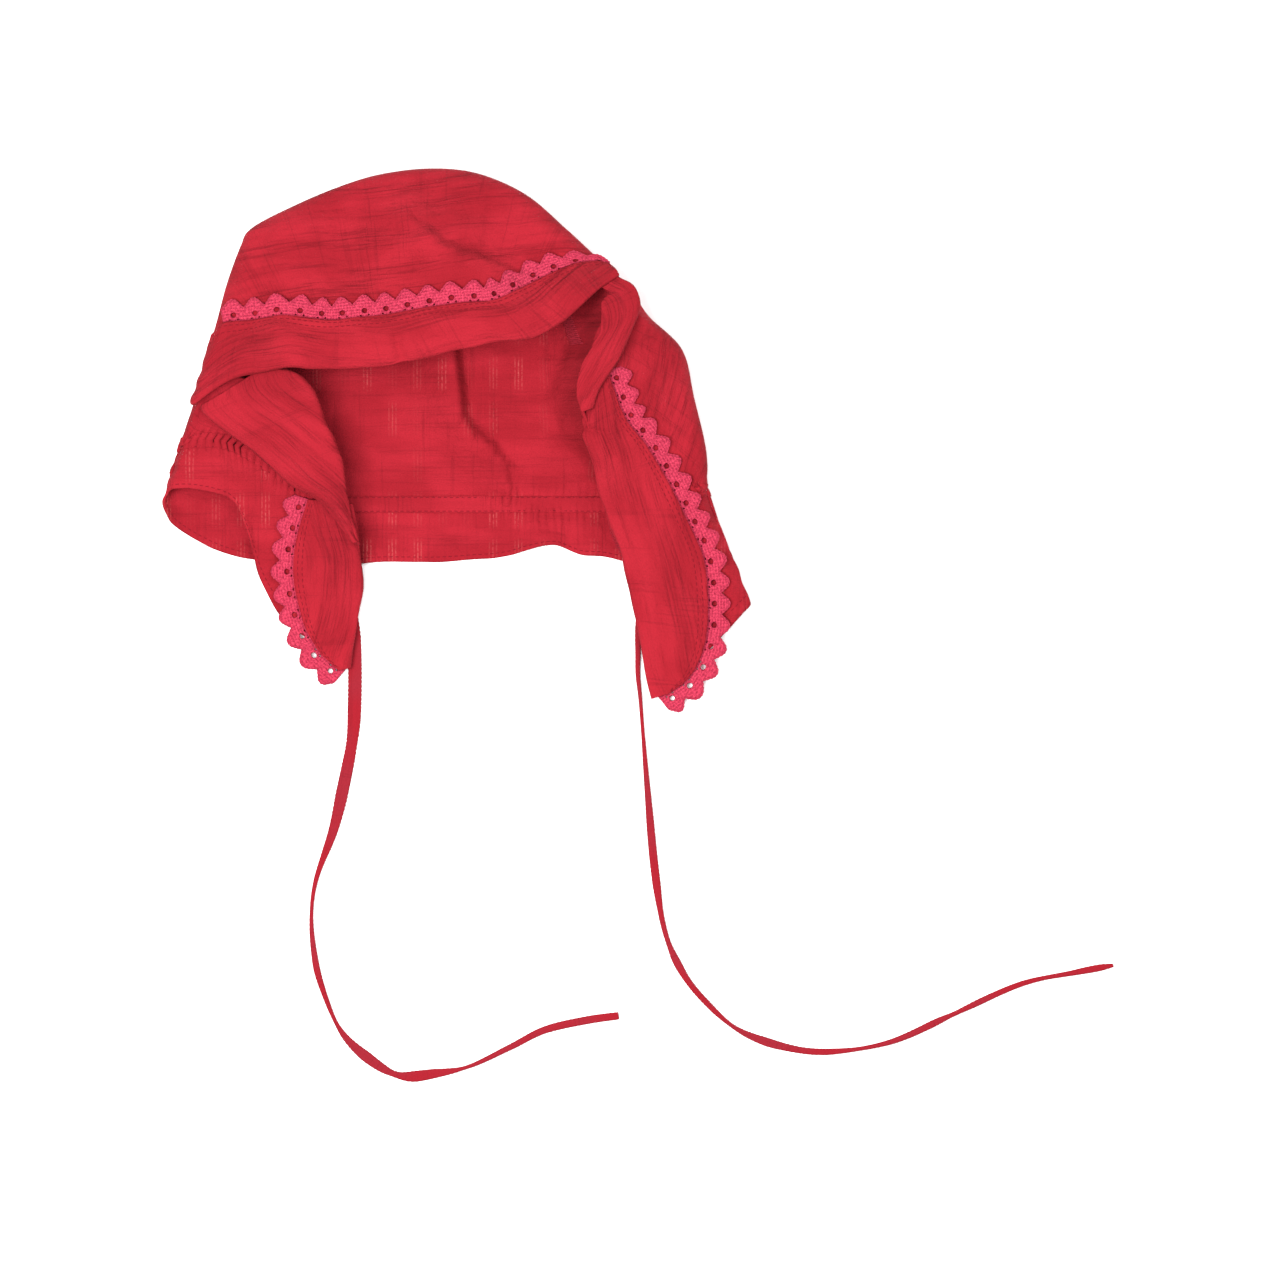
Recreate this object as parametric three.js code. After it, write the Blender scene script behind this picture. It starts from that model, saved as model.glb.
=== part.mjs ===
import * as THREE from "three";

// A baby's bonnet of thin red cotton with a pink crochet edging, lying on its back.
// Millimetres. +X is to the right, +Y towards the top of the crown, and +Z out of the face opening.
// The origin is on the surface the bonnet lies on, below the middle of its outline.

// Driving sizes
const clothThick = 1.4;
const laceThick = 0.9;
const pieceGap = 0.5;
const turnGap = 2.4;
const turnReach = 12;
const casingHalf = 3.2;
const casingThick = 1.7;
const edgeRoll = 9;
const postReach = 17;
const lacePitch = 9.4;
const laceTuck = 2;
const laceBelow = 2;
const laceTurnReach = 3;
const tieWidth = 4.4;
const tieThick = 1.8;
const tieCorner = 0.62;

// How finely the shapes are divided
const rowSteps = 2;
const seamSteps = 8;
const crownSteps = { back: 5, top: 6, crowding: 1.8 };
const frillSteps = 3;
const tieStep = 14;
const brimShares = [0.3, 0.55, 0.8];
const foldBends = [-45, 0, 45];
const mergeWithin = 0.01;

// Colours and finish
const clothRed = { color: 0xcc2f3b, roughness: 0.9, metalness: 0 };
const casingRed = { color: 0xb92734, roughness: 0.92, metalness: 0 };
const laceRed = { color: 0xec3b6c, roughness: 0.85, metalness: 0 };

// A table is a list of rows with named columns
function table(columns, rows) {
  const names = columns.split(" ");
  return rows.map((row) => Object.fromEntries(names.map((name, index) => [name, row[index]])));
}

// How high the upper layer of cloth stands at a few places; everything laid on it is a lift above it
const formPosts = table("x y z", [
  [-23, 40, 35], [-65, 38, 31], [-96, 28, 21], [-110, 16, 15], [19, 47, 37], [56, 59, 37], [75, 59, 30],
  [-15, 86, 29], [-15, 110, 14], [-52, 101, 14], [-65, 82, 23], [-88, 84, 13], [27, 97, 14], [42, 78, 20],
  [60, 74, 19], [-104, 34, 15], [77, 18, 23], [94, 38, 15], [100, 14, 13], [104, -15, 11], [60, 9, 26],
  [81, -32, 15], [102, -49, 9], [121, -66, 6], [83, -82, 5], [83, -107, 1.6], [-77, 1, 19], [-102, 1, 13],
  [-119, -20, 13], [-92, -24, 12], [-48, -12, 21], [-44, -43, 14], [-65, -49, 9], [-46, -70, 6],
  [-52, -93, 1.6], [-79, -66, 3.5],
]);

// The bonnet's cloth as sections round the head: its rim at the face, the fold it lies on, the neck
// casing and the hem of the neck frill. A lift of 0 lies on the surface, and 1 on the upper layer.
const clothRows = table("rimX rimY foldX foldY foldLift neckX neckY hemX hemY hemLift", [
  [-50, -24, -57, -32, 1, -57, -32, -55, -85, 1],
  [-55, -13, -65, -19, 1, -65, -19, -71, -75, 1],
  [-60, 2, -75, -11, 1, -75, -11, -81, -57, 1],
  [-68, 14, -86, -4, 1, -86, -4, -86, -39, 1],
  [-78, 22, -96, 0, 1, -96, 0, -92, -25, 1],
  [-87, 26, -105, 1, 1, -105, 1, -106, -20, 1],
  [-92, 28, -111, 0, 0.85, -111, 0, -118, -20, 0.9],
  [-94, 30, -114, -1, 0.5, -114, -1, -122, -25, 0.5],
  [-95, 32, -109, 14, 0.5, -111, -6, -118, -34, 0.06],
  [-92, 36, -104, 32, 0.5, -100, -13, -104, -43, 0],
  [-86, 38, -99, 49, 0.5, -84, -20, -90, -48, 0],
  [-75, 40, -95, 67, 0.5, -69, -24, -73, -50, 0],
  [-63, 42, -88, 86, 0.5, -56, -25, -59, -51, 0],
  [-50, 43, -69, 95, 0.5, -44, -26, -44, -51, 0],
  [-38, 43, -52, 103, 0.5, -31, -26, -31, -50, 0],
  [-25, 44, -35, 110, 0.5, -19, -26, -19, -50, 0],
  [-11, 46, -15, 113, 0.5, -6, -26, -6, -50, 0],
  [2, 49, 4, 109, 0.5, 6, -26, 7, -49, 0],
  [16, 51, 27, 99, 0.5, 19, -26, 19, -48, 0.04],
  [30, 55, 43, 87, 0.5, 30, -26, 30, -45, 0.3],
  [42, 59, 60, 75, 0.5, 41, -26, 42, -43, 0.22],
  [55, 67, 72, 64, 0.5, 52, -26, 52, -47, 0.04],
  [66, 58, 80, 52, 0.5, 62, -26, 63, -48, 0],
  [66, 50, 94, 38, 0.5, 75, -26, 77, -52, 0],
  [65, 38, 99, 18, 0.5, 86, -25, 91, -59, 0],
  [63, 27, 104, -4, 0.5, 97, -23, 108, -65, 0.06],
  [62, 19, 104, -20, 0.5, 104, -20, 122, -67, 0.5],
  [62, 13, 101, -20, 0.85, 101, -20, 119, -72, 0.9],
  [63, 4, 94, -21, 1, 94, -21, 111, -81, 1],
  [65, -8, 86, -24, 1, 86, -24, 101, -91, 1],
  [68, -19, 80, -29, 1, 80, -29, 94, -97, 1],
  [72, -30, 76, -35, 1, 76, -35, 90, -99, 1],
]);

// Where the neck edge turns from the back panel to the upper layer
const neckTurns = table("x y", [[-113, 0], [103, -20]]);

// Folds and dents in one layer: a ridge (or a dent, where it is below 0) along a line, with its reach
// to the line's left and right
const backFolds = table("fromX fromY toX toY rise left right", [
  [-4, 45, -3, 10, 6, 9, 3],
  [-3, 10, 9, 0, 5, 8, 3],
  [9, 0, 20, -14, 3.5, 7, 3],
]);
const crownFolds = table("fromX fromY toX toY rise left right", [
  [-13, 90, -5, 82, -2, 7, 4],
  [-5, 82, 6, 75, -2.2, 7, 4],
  [6, 75, 22, 68, -1.6, 7, 5],
]);

// The turned-back brim. Each row crosses it from its folded edge to its other edge, with the lift of
// both above the form, the height of the turned fold and the length of cloth turned under.
const brimColumns = "edgeX edgeY edgeLift edgeTurn edgeLeg backX backY backLift backTurn backLeg";
const topBandRows = table(brimColumns, [
  [-108, 18, 2, 2, 1.2, -101, 44, 2, 0, 0],
  [-107, 17, 7, 2, 1.2, -99, 46, 3.4, 0, 0],
  [-101, 21, 9, 2.4, 1.4, -96, 49, 4.3, 0, 0],
  [-90, 27, 10, 2.6, 1.6, -86, 50, 4.3, 0, 0],
  [-77, 29, 10, 2.8, 1.8, -78, 51, 4.3, 0, 0],
  [-65, 31, 9, 3.2, 2, -70, 52, 4.3, 0, 0],
  [-54, 30, 6, 3.8, 3, -53, 50, 4.3, 0, 0],
  [-38, 31, 4, 3.8, 4.5, -41, 51, 4.3, 0, 0],
  [-22, 32, 4, 4, 5, -29, 52, 4.3, 0, 0],
  [-1, 38, 4, 4, 5, -12, 55, 4.3, 0, 0],
  [11, 40, 4, 4, 5, 2, 57, 4.3, 0, 0],
  [30, 43, 4, 4, 4.5, 16, 58, 4.3, 0, 0],
  [44, 49, 5, 3.6, 3.5, 27, 63, 4.3, 0, 0],
  [51, 55, 7.5, 3.2, 2, 37, 68, 4.3, 0, 0],
  [59, 63, 9.5, 2.6, 1.6, 50, 73, 4.3, 0, 0],
  [66, 68, 10, 2.4, 1.4, 63, 75, 4.5, 0, 0],
  [70, 69, 7, 2, 1.2, 68, 73, 4, 0, 0],
]);
const leftStripRows = table(brimColumns, [
  [-43, -41, 8, 2, 1.2, -40, -43, 8, 2, 1.2],
  [-56, -25, 8.6, 2.6, 1.6, -44, -26, 8.4, 2.4, 1.4],
  [-68, -18, 8.6, 2.6, 1.6, -47, -9, 8, 5, 3],
  [-78, -9, 8, 2.6, 1.6, -51, 2, 8, 7, 4],
  [-87, -1, 7, 2.6, 1.6, -55, 12, 7, 6, 4],
  [-97, 6, 6, 2.6, 1.6, -59, 22, 6, 5, 3.5],
  [-104, 12, 4.6, 2.4, 1.4, -66, 28, 4.8, 3.4, 2],
  [-105, 15, 3.6, 2, 1.2, -78, 31, 4, 2.4, 1.4],
]);
const rightStripRows = table(brimColumns, [
  [69, 67, 5.5, 2, 1.2, 64, 62, 5.5, 0, 0],
  [74, 64, 6.4, 2.2, 1.3, 61, 57, 6.4, 0, 0],
  [76.5, 58, 7, 2.4, 1.4, 61, 51, 7, 0, 0],
  [76, 53, 7.6, 2.6, 1.6, 60, 45, 7.6, 0, 0],
  [74, 48, 8, 2.6, 1.6, 58, 41, 8, 0, 0],
  [71, 41, 8.4, 2.6, 1.6, 56, 37, 8.4, 0, 0],
  [68, 34, 8.6, 2.6, 1.6, 53, 32, 8.6, 0, 0],
  [64, 28, 8.6, 2.6, 1.6, 51, 25, 8.4, 0, 0],
  [60, 22, 8.6, 2.4, 1.5, 50, 18, 8.2, 0, 0],
  [56, 13, 8, 2, 1.3, 50, 11, 7.8, 0, 0],
]);
const leftFlapRows = table(brimColumns, [
  [-43, -26, 3, 2.6, 2, -61, -24, 3.6, 0, 0],
  [-41, -37, 3.4, 3, 3, -65, -37, 4.3, 0, 0],
  [-39, -48, 3.4, 3, 4, -67, -48, 4.3, 0, 0],
  [-39, -58, 3.4, 3, 4, -67, -58, 4.3, 0, 0],
  [-40, -68, 3.4, 3, 4, -65, -68, 4.3, 0, 0],
  [-41, -78, 3.3, 2.6, 3, -62, -78, 4.3, 0, 0],
  [-43, -87, 3, 2, 2, -56, -88, 3.3, 0, 0],
  [-44, -94, 2.6, 1.6, 1.2, -48, -95, 2.9, 0, 0],
]);
const rightFlapRows = table(brimColumns, [
  [54, 11, 3.4, 3, 2, 65, 24, 4.3, 0, 0],
  [53, 2, 3.4, 3, 2.5, 71, 9, 4.3, 0, 0],
  [57, -8, 3.4, 3, 3, 79, -1, 4.3, 0, 0],
  [60, -20, 3.4, 3, 3, 88, -16, 4.3, 0, 0],
  [64, -32, 3.4, 3, 3, 96, -32, 4.3, 0, 0],
  [69, -47, 3.4, 3, 3, 103, -48, 4.3, 0, 0],
  [73, -62, 3.4, 3, 3, 105, -65, 4.3, 0, 0],
  [77, -80, 3.4, 3, 3, 104, -83, 4.3, 0, 0],
  [79, -94, 3.2, 2.4, 2.4, 98, -97, 3.4, 0, 0],
  [82, -107, 2.6, 1.6, 1.2, 88, -105, 2.9, 0, 0],
]);

// One scallop of the crochet: its outline as a share of the pitch and millimetres out from the seam
const scallopOutline = table("share out", [
  [0, -laceTuck], [1, -laceTuck], [1, 6.2], [0.87, 8.8], [0.68, 10.4], [0.5, 11.6], [0.32, 10.4],
  [0.13, 8.8], [0, 6.2],
]);
const scallopHole = { share: 0.5, out: 4.4, halfWide: 1.3, halfHigh: 1.6, sides: 6 };

// The wall inside the right strip, which slopes from the strip's inner edge down to the back panel
const wallSlope = { run: 9, foot: 2.6, steps: 4 };

// The flat ties: the middle of the strip from under the ear flap to its end
const leftTieRoute = table("x y z", [
  [-44, -65, 3.4], [-43, -74, 1.9], [-42, -84, 1.05], [-42, -107, 1], [-43, -124, 1], [-47, -145, 1],
  [-51, -162, 1], [-58, -182, 1], [-60, -197, 1], [-59, -212, 1], [-56, -226, 1], [-48, -245, 1],
  [-36, -257, 1], [-23, -264, 1], [-8, -263, 1], [6, -260, 1], [23, -252, 1], [37, -245, 1],
  [54, -241, 1], [68, -239, 1],
]);
const rightTieRoute = table("x y z", [
  [77, -68, 3.2], [76, -78, 1.7], [76, -88, 1], [76, -97, 1], [77, -107, 1], [78, -120, 1], [80, -145, 1],
  [83, -178, 1], [87, -203, 1], [94, -220, 1], [104, -233, 1], [118, -245, 1], [137, -252, 1],
  [156, -254, 1], [181, -250, 1], [206, -239, 1], [235, -226, 1], [258, -221, 1], [274, -218, 1],
]);

const mix = (a, b, share) => a + (b - a) * share;

// Height of the upper layer: the posts' heights, each weighed by nearness
function formHeight(x, y) {
  let weights = 0;
  let sum = 0;
  for (const post of formPosts) {
    const near = 1 / ((x - post.x) ** 2 + (y - post.y) ** 2 + postReach ** 2) ** 2;
    weights += near;
    sum += near * post.z;
  }
  return sum / weights;
}

// Height of a layer that lies between the surface and the upper layer
const layerHeight = (x, y, lift) => mix(clothThick / 2, formHeight(x, y), lift);

// Rise of the folds at a place: the largest of the ridges that reach it
function foldRise(folds, x, y) {
  let rise = 0;
  for (const fold of folds) {
    const runX = fold.toX - fold.fromX;
    const runY = fold.toY - fold.fromY;
    const along = ((x - fold.fromX) * runX + (y - fold.fromY) * runY) / (runX ** 2 + runY ** 2);
    const share = Math.min(Math.max(along, 0), 1);
    const offX = x - fold.fromX - share * runX;
    const offY = y - fold.fromY - share * runY;
    const reach = runX * offY - runY * offX > 0 ? fold.left : fold.right;
    const here = fold.rise * Math.exp(-(offX ** 2 + offY ** 2) / reach ** 2);
    rise = Math.abs(here) > Math.abs(rise) ? here : rise;
  }
  return rise;
}

// Rows between the rows of a table, on a smooth curve through them
function smoothRows(rows, steps) {
  const names = Object.keys(rows[0]);
  const last = rows.length - 1;
  const fine = [];
  for (let index = 0; index < last * steps + 1; index += 1) {
    const start = Math.min(Math.floor(index / steps), last - 1);
    const t = index / steps - start;
    const [a, b, c, d] = [-1, 0, 1, 2].map((step) => rows[Math.min(Math.max(start + step, 0), last)]);
    const row = {};
    for (const name of names) {
      const bend = 2 * a[name] - 5 * b[name] + 4 * c[name] - d[name];
      const twist = 3 * b[name] - a[name] - 3 * c[name] + d[name];
      row[name] = b[name] + 0.5 * ((c[name] - a[name]) * t + bend * t ** 2 + twist * t ** 3);
    }
    fine.push(row);
  }
  return fine;
}

// An open surface of triangles whose shared corners are one point
function makeSurface() {
  const points = [];
  const faces = [];
  const seen = new Map();
  const pointAt = (point) => {
    const key = [point.x, point.y, point.z].map((value) => Math.round(value / mergeWithin)).join(" ");
    if (!seen.has(key)) {
      seen.set(key, points.length);
      points.push(point);
    }
    return seen.get(key);
  };
  const addFace = (a, b, c) => {
    const corners = [a, b, c].map(pointAt);
    if (new Set(corners).size === 3) {
      faces.push(corners);
    }
  };
  return { points, faces, addFace };
}

// A surface through a grid of points, row by row
function gridSurface(grid) {
  const surface = makeSurface();
  for (let row = 0; row < grid.length - 1; row += 1) {
    for (let column = 0; column < grid[row].length - 1; column += 1) {
      const a = grid[row][column];
      const b = grid[row][column + 1];
      const c = grid[row + 1][column + 1];
      const d = grid[row + 1][column];
      surface.addFace(a, b, c);
      surface.addFace(a, c, d);
    }
  }
  return surface;
}

// A sheet of cloth: the surface moved out both ways along its normals and closed round its edges
function thickSheet(surface, thickness) {
  const { points, faces } = surface;
  const normals = points.map(() => new THREE.Vector3());
  const edges = new Map();
  for (const [a, b, c] of faces) {
    const side = points[b].clone().sub(points[a]).cross(points[c].clone().sub(points[a]));
    [a, b, c].forEach((corner) => normals[corner].add(side));
    [[a, b], [b, c], [c, a]].forEach(([from, to]) => edges.set(`${from} ${to}`, [from, to]));
  }
  const half = thickness / 2;
  const out = points.map((point, index) => point.clone().addScaledVector(normals[index].normalize(), half));
  const back = points.map((point, index) => point.clone().addScaledVector(normals[index], -half));
  const placed = [...out, ...back].map(settle).flatMap((point) => [point.x, point.y, point.z]);
  const triangles = [];
  for (const [a, b, c] of faces) {
    triangles.push(a, b, c, a + points.length, c + points.length, b + points.length);
  }
  for (const [from, to] of edges.values()) {
    if (!edges.has(`${to} ${from}`)) {
      triangles.push(from + points.length, to + points.length, to, from + points.length, to, from);
    }
  }
  const geometry = new THREE.BufferGeometry();
  geometry.setAttribute("position", new THREE.Float32BufferAttribute(placed, 3));
  geometry.setIndex(triangles);
  geometry.computeVertexNormals();
  return geometry;
}

// What lies on the surface is flat there, and nothing reaches below it
function settle(point) {
  const nearFloor = 0.25;
  return point.z < nearFloor ? point.setZ(0) : point;
}

// How far a rolled edge has turned at a share of its reach: 1 at the fold, 0 past its reach
const rollShare = (share) => (share < 1 ? 1 - Math.sqrt(1 - (1 - share) ** 2) : 0);

// A place on the cloth, by its distance from the neck casing towards the rim
function clothPoint(row, distance) {
  const backRun = Math.hypot(row.foldX - row.neckX, row.foldY - row.neckY);
  const foldHeight = layerHeight(row.foldX, row.foldY, row.foldLift);
  if (distance < backRun) {
    const share = distance / backRun;
    const x = mix(row.neckX, row.foldX, share);
    const y = mix(row.neckY, row.foldY, share);
    const flat = clothThick / 2 + foldRise(backFolds, x, y);
    return new THREE.Vector3(x, y, mix(flat, foldHeight, rollShare((backRun - distance) / edgeRoll)));
  }
  const topRun = Math.hypot(row.foldX - row.rimX, row.foldY - row.rimY);
  const share = (distance - backRun) / topRun;
  const x = mix(row.foldX, row.rimX, share);
  const y = mix(row.foldY, row.rimY, share);
  const top = formHeight(x, y) + foldRise(crownFolds, x, y);
  return new THREE.Vector3(x, y, mix(top, foldHeight, rollShare((distance - backRun) / edgeRoll)));
}

// A place on the neck frill, by its distance from the neck casing towards the hem
function frillPoint(row, distance) {
  const run = Math.hypot(row.hemX - row.neckX, row.hemY - row.neckY);
  const share = distance / run;
  const x = mix(row.neckX, row.hemX, share);
  const y = mix(row.neckY, row.hemY, share);
  const onBack = Math.hypot(row.foldX - row.neckX, row.foldY - row.neckY) / edgeRoll;
  const neckLift = row.foldLift * (onBack < 1 ? rollShare(onBack) : 0);
  return new THREE.Vector3(x, y, layerHeight(x, y, mix(neckLift, row.hemLift, share)));
}

// How far from its middle line the casing's neighbours start: further where the neck edge turns over
function casingGap(row) {
  const turns = neckTurns.map((turn) => Math.hypot(row.neckX - turn.x, row.neckY - turn.y));
  return casingHalf + pieceGap + turnGap * Math.exp(-((Math.min(...turns) / turnReach) ** 2));
}

// Crown: from the casing along the back, round the fold and over the top to the rim
function makeCrown(rows) {
  const { back, top, crowding } = crownSteps;
  const grid = rows.map((row) => {
    const start = casingGap(row);
    const backRun = Math.hypot(row.foldX - row.neckX, row.foldY - row.neckY);
    const fold = Math.max(backRun, start);
    const rim = backRun + Math.hypot(row.foldX - row.rimX, row.foldY - row.rimY);
    const points = [];
    for (let step = 0; step < back; step += 1) {
      points.push(clothPoint(row, mix(start, fold, 1 - (1 - step / back) ** crowding)));
    }
    for (let step = 0; step <= top; step += 1) {
      points.push(clothPoint(row, mix(fold, rim, (step / top) ** crowding)));
    }
    return points;
  });
  return thickSheet(gridSurface(grid), clothThick);
}

// Neck casing: the channel for the elastic, between the crown and the frill
function makeCasing(rows) {
  const lifted = (point) => point.setZ(point.z + (casingThick - clothThick) / 2);
  const grid = rows.map((row) => [
    lifted(frillPoint(row, casingHalf)),
    lifted(clothPoint(row, 0)),
    lifted(clothPoint(row, casingHalf)),
  ]);
  return thickSheet(gridSurface(grid), casingThick);
}

// Neck frill: from the casing to the hem
function makeFrill(rows) {
  const grid = rows.map((row) => {
    const start = casingGap(row);
    const run = Math.hypot(row.hemX - row.neckX, row.hemY - row.neckY);
    const points = [];
    for (let step = 0; step <= frillSteps; step += 1) {
      points.push(frillPoint(row, mix(run, start, step / frillSteps)));
    }
    return points;
  });
  return thickSheet(gridSurface(grid), clothThick);
}

// A turned edge seen from its end: distances in from the edge and lifts, from the cloth turned under
function turnedEdge(lift, turn, leg) {
  const radius = turn / 2;
  const under = lift - turn;
  const bends = foldBends.map((degrees) => {
    const angle = THREE.MathUtils.degToRad(degrees);
    return [radius * (1 - Math.cos(angle)), lift - radius + radius * Math.sin(angle)];
  });
  return [[leg, under], [radius, under], ...bends, [radius, lift]];
}

// A strip of the brim across one row, from its turned edge to its other edge
function brimSection(row, puff) {
  const width = Math.hypot(row.edgeX - row.backX, row.edgeY - row.backY);
  const section = turnedEdge(row.edgeLift, row.edgeTurn, row.edgeLeg);
  for (const share of brimShares) {
    const raised = puff * Math.sin(Math.PI * share);
    section.push([width * share, mix(row.edgeLift, row.backLift, share) + raised]);
  }
  if (row.backTurn > 0) {
    const turned = turnedEdge(row.backLift, row.backTurn, row.backLeg).reverse();
    section.push(...turned.map(([inward, lift]) => [width - inward, lift]));
  } else {
    section.push([width, row.backLift]);
  }
  return section.map(([inward, lift]) => {
    const x = mix(row.edgeX, row.backX, inward / width);
    const y = mix(row.edgeY, row.backY, inward / width);
    return new THREE.Vector3(x, y, formHeight(x, y) + lift);
  });
}

// The wall inside a strip across one row, from the strip's inner edge to the back panel
function wallSection(row) {
  const width = Math.hypot(row.edgeX - row.backX, row.edgeY - row.backY);
  const top = formHeight(row.backX, row.backY) + row.backLift;
  const points = [];
  for (let step = 1; step <= wallSlope.steps; step += 1) {
    const share = step / wallSlope.steps;
    const x = row.backX + ((row.backX - row.edgeX) / width) * wallSlope.run * share;
    const y = row.backY + ((row.backY - row.edgeY) / width) * wallSlope.run * share;
    const eased = THREE.MathUtils.smoothstep(share, 0, 1);
    points.push(new THREE.Vector3(x, y, mix(top, wallSlope.foot, eased)));
  }
  return points;
}

// A piece of the brim: its sections along its rows, with the wall inside it where it has one
function makeBrimPiece(rows, options) {
  const grid = smoothRows(rows, rowSteps).map((row) => {
    const section = brimSection(row, options.puff);
    return options.wall ? [...section, ...wallSection(row)] : section;
  });
  const ordered = options.flip ? grid.reverse() : grid;
  return thickSheet(gridSurface(ordered), clothThick);
}

// The seam of the crochet: evenly spaced places along a brim piece's back edge
function seamPlaces(rows, trim) {
  const fine = smoothRows(rows, seamSteps);
  const lengths = [0];
  for (let index = 1; index < fine.length; index += 1) {
    const [from, to] = [fine[index - 1], fine[index]];
    lengths.push(lengths[index - 1] + Math.hypot(to.backX - from.backX, to.backY - from.backY));
  }
  const start = trim.start;
  const end = lengths.at(-1) - trim.end;
  const count = Math.round((end - start) / lacePitch);
  const pointAt = (distance) => {
    const found = lengths.findIndex((value) => value >= distance);
    const after = found < 0 ? fine.length - 1 : Math.max(found, 1);
    const share = (distance - lengths[after - 1]) / (lengths[after] - lengths[after - 1]);
    const [from, to] = [fine[after - 1], fine[after]];
    return {
      x: mix(from.backX, to.backX, share),
      y: mix(from.backY, to.backY, share),
      lift: mix(from.backLift, to.backLift, share) - laceBelow,
    };
  };
  const placeAt = (distance) => {
    const before = pointAt(Math.max(distance - laceTurnReach, start));
    const after = pointAt(Math.min(distance + laceTurnReach, end));
    const run = Math.hypot(after.x - before.x, after.y - before.y);
    return { ...pointAt(distance), outX: (before.y - after.y) / run, outY: (after.x - before.x) / run };
  };
  return { start, count, pitch: (end - start) / count, placeAt };
}

// Crochet edging: a row of scallops, each with a hole, along the seam
function makeLace(rows, side, trim) {
  const seam = seamPlaces(rows, trim);
  const surface = makeSurface();
  const outline = scallopOutline.map((corner) => new THREE.Vector2(corner.share * seam.pitch, corner.out));
  const hole = [];
  for (let index = 0; index < scallopHole.sides; index += 1) {
    const angle = (index / scallopHole.sides) * Math.PI * 2;
    const across = scallopHole.share * seam.pitch + scallopHole.halfWide * Math.cos(angle);
    hole.push(new THREE.Vector2(across, scallopHole.out + scallopHole.halfHigh * Math.sin(angle)));
  }
  const corners = [...outline, ...hole];
  const faces = THREE.ShapeUtils.triangulateShape(outline, [hole]);
  for (let index = 0; index < seam.count; index += 1) {
    const placed = corners.map((corner) => {
      const place = seam.placeAt(seam.start + index * seam.pitch + corner.x);
      const x = place.x + place.outX * corner.y * side;
      const y = place.y + place.outY * corner.y * side;
      return new THREE.Vector3(x, y, formHeight(x, y) + place.lift);
    });
    for (const [a, b, c] of faces) {
      surface.addFace(placed[a], side > 0 ? placed[b] : placed[c], side > 0 ? placed[c] : placed[b]);
    }
  }
  return thickSheet(surface, laceThick);
}

// A flat tie: an eight-sided section carried along its route
function makeTie(route) {
  const path = new THREE.CatmullRomCurve3(route.map(({ x, y, z }) => new THREE.Vector3(x, y, z)));
  const outline = [];
  for (const [acrossSide, upSide] of [[1, 1], [-1, 1], [-1, -1], [1, -1]]) {
    const onSide = [acrossSide, upSide * tieCorner];
    const onFace = [acrossSide * tieCorner, upSide];
    outline.push(...(acrossSide === upSide ? [onSide, onFace] : [onFace, onSide]));
  }
  const section = new THREE.Shape(
    outline.map(([across, up]) => new THREE.Vector2((tieWidth / 2) * across, (tieThick / 2) * up)),
  );
  const steps = Math.round(path.getLength() / tieStep);
  return new THREE.ExtrudeGeometry(section, { steps, extrudePath: path });
}

// The bonnet
const bonnet = new THREE.Group();

function addPiece(name, geometry, finish) {
  const piece = new THREE.Mesh(geometry, new THREE.MeshStandardMaterial(finish));
  piece.name = name;
  bonnet.add(piece);
}

const clothSections = smoothRows(clothRows, rowSteps);
addPiece("crown", makeCrown(clothSections), clothRed);
addPiece("neck_casing", makeCasing(clothSections), casingRed);
addPiece("neck_frill", makeFrill(clothSections), clothRed);
addPiece("top_band", makeBrimPiece(topBandRows, { puff: 1.2 }), clothRed);
addPiece("left_strip", makeBrimPiece(leftStripRows, { puff: 1.6 }), clothRed);
addPiece("right_strip", makeBrimPiece(rightStripRows, { puff: 1, wall: true, flip: true }), clothRed);
addPiece("left_ear_flap", makeBrimPiece(leftFlapRows, { puff: 0.5, flip: true }), clothRed);
addPiece("right_ear_flap", makeBrimPiece(rightFlapRows, { puff: 0.6 }), clothRed);
addPiece("top_lace", makeLace(topBandRows, 1, { start: 7, end: 5.4 }), laceRed);
addPiece("left_lace", makeLace(leftFlapRows, -1, { start: 0, end: 0 }), laceRed);
addPiece("right_lace", makeLace(rightFlapRows, 1, { start: 0, end: -3.4 }), laceRed);
addPiece("left_tie", makeTie(leftTieRoute), clothRed);
addPiece("right_tie", makeTie(rightTieRoute), clothRed);

export default bonnet;
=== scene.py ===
from functools import partial

import bmesh
import bpy
import numpy as np
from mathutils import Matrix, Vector


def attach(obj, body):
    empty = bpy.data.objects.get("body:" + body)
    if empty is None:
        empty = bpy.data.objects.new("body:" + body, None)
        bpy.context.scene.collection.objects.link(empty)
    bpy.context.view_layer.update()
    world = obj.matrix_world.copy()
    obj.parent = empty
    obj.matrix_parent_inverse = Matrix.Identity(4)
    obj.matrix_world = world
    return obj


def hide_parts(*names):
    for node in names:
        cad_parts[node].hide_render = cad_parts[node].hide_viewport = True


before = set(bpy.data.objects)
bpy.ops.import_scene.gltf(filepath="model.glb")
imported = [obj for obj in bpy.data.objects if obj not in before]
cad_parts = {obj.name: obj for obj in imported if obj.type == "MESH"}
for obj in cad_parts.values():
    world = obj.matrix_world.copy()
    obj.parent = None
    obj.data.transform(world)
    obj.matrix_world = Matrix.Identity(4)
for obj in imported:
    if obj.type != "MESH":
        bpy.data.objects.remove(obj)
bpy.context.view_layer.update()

# A baby's red cotton bonnet with a pink crochet edging, laid on its back. Tables are in the bonnet's own
# millimetres, and every mesh is made in metres.
mm = 0.001

# Camera: the picture is 1280 pixels of 1/2.4 mm, seen from straight above through a long lens
cameraView = {
    "pixels": 1280,
    "pixelsPerMm": 2.4,
    "originPixel": (455.5, 442.0),
    "lens": 400.0,
    "sensor": 36.0,
}


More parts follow.
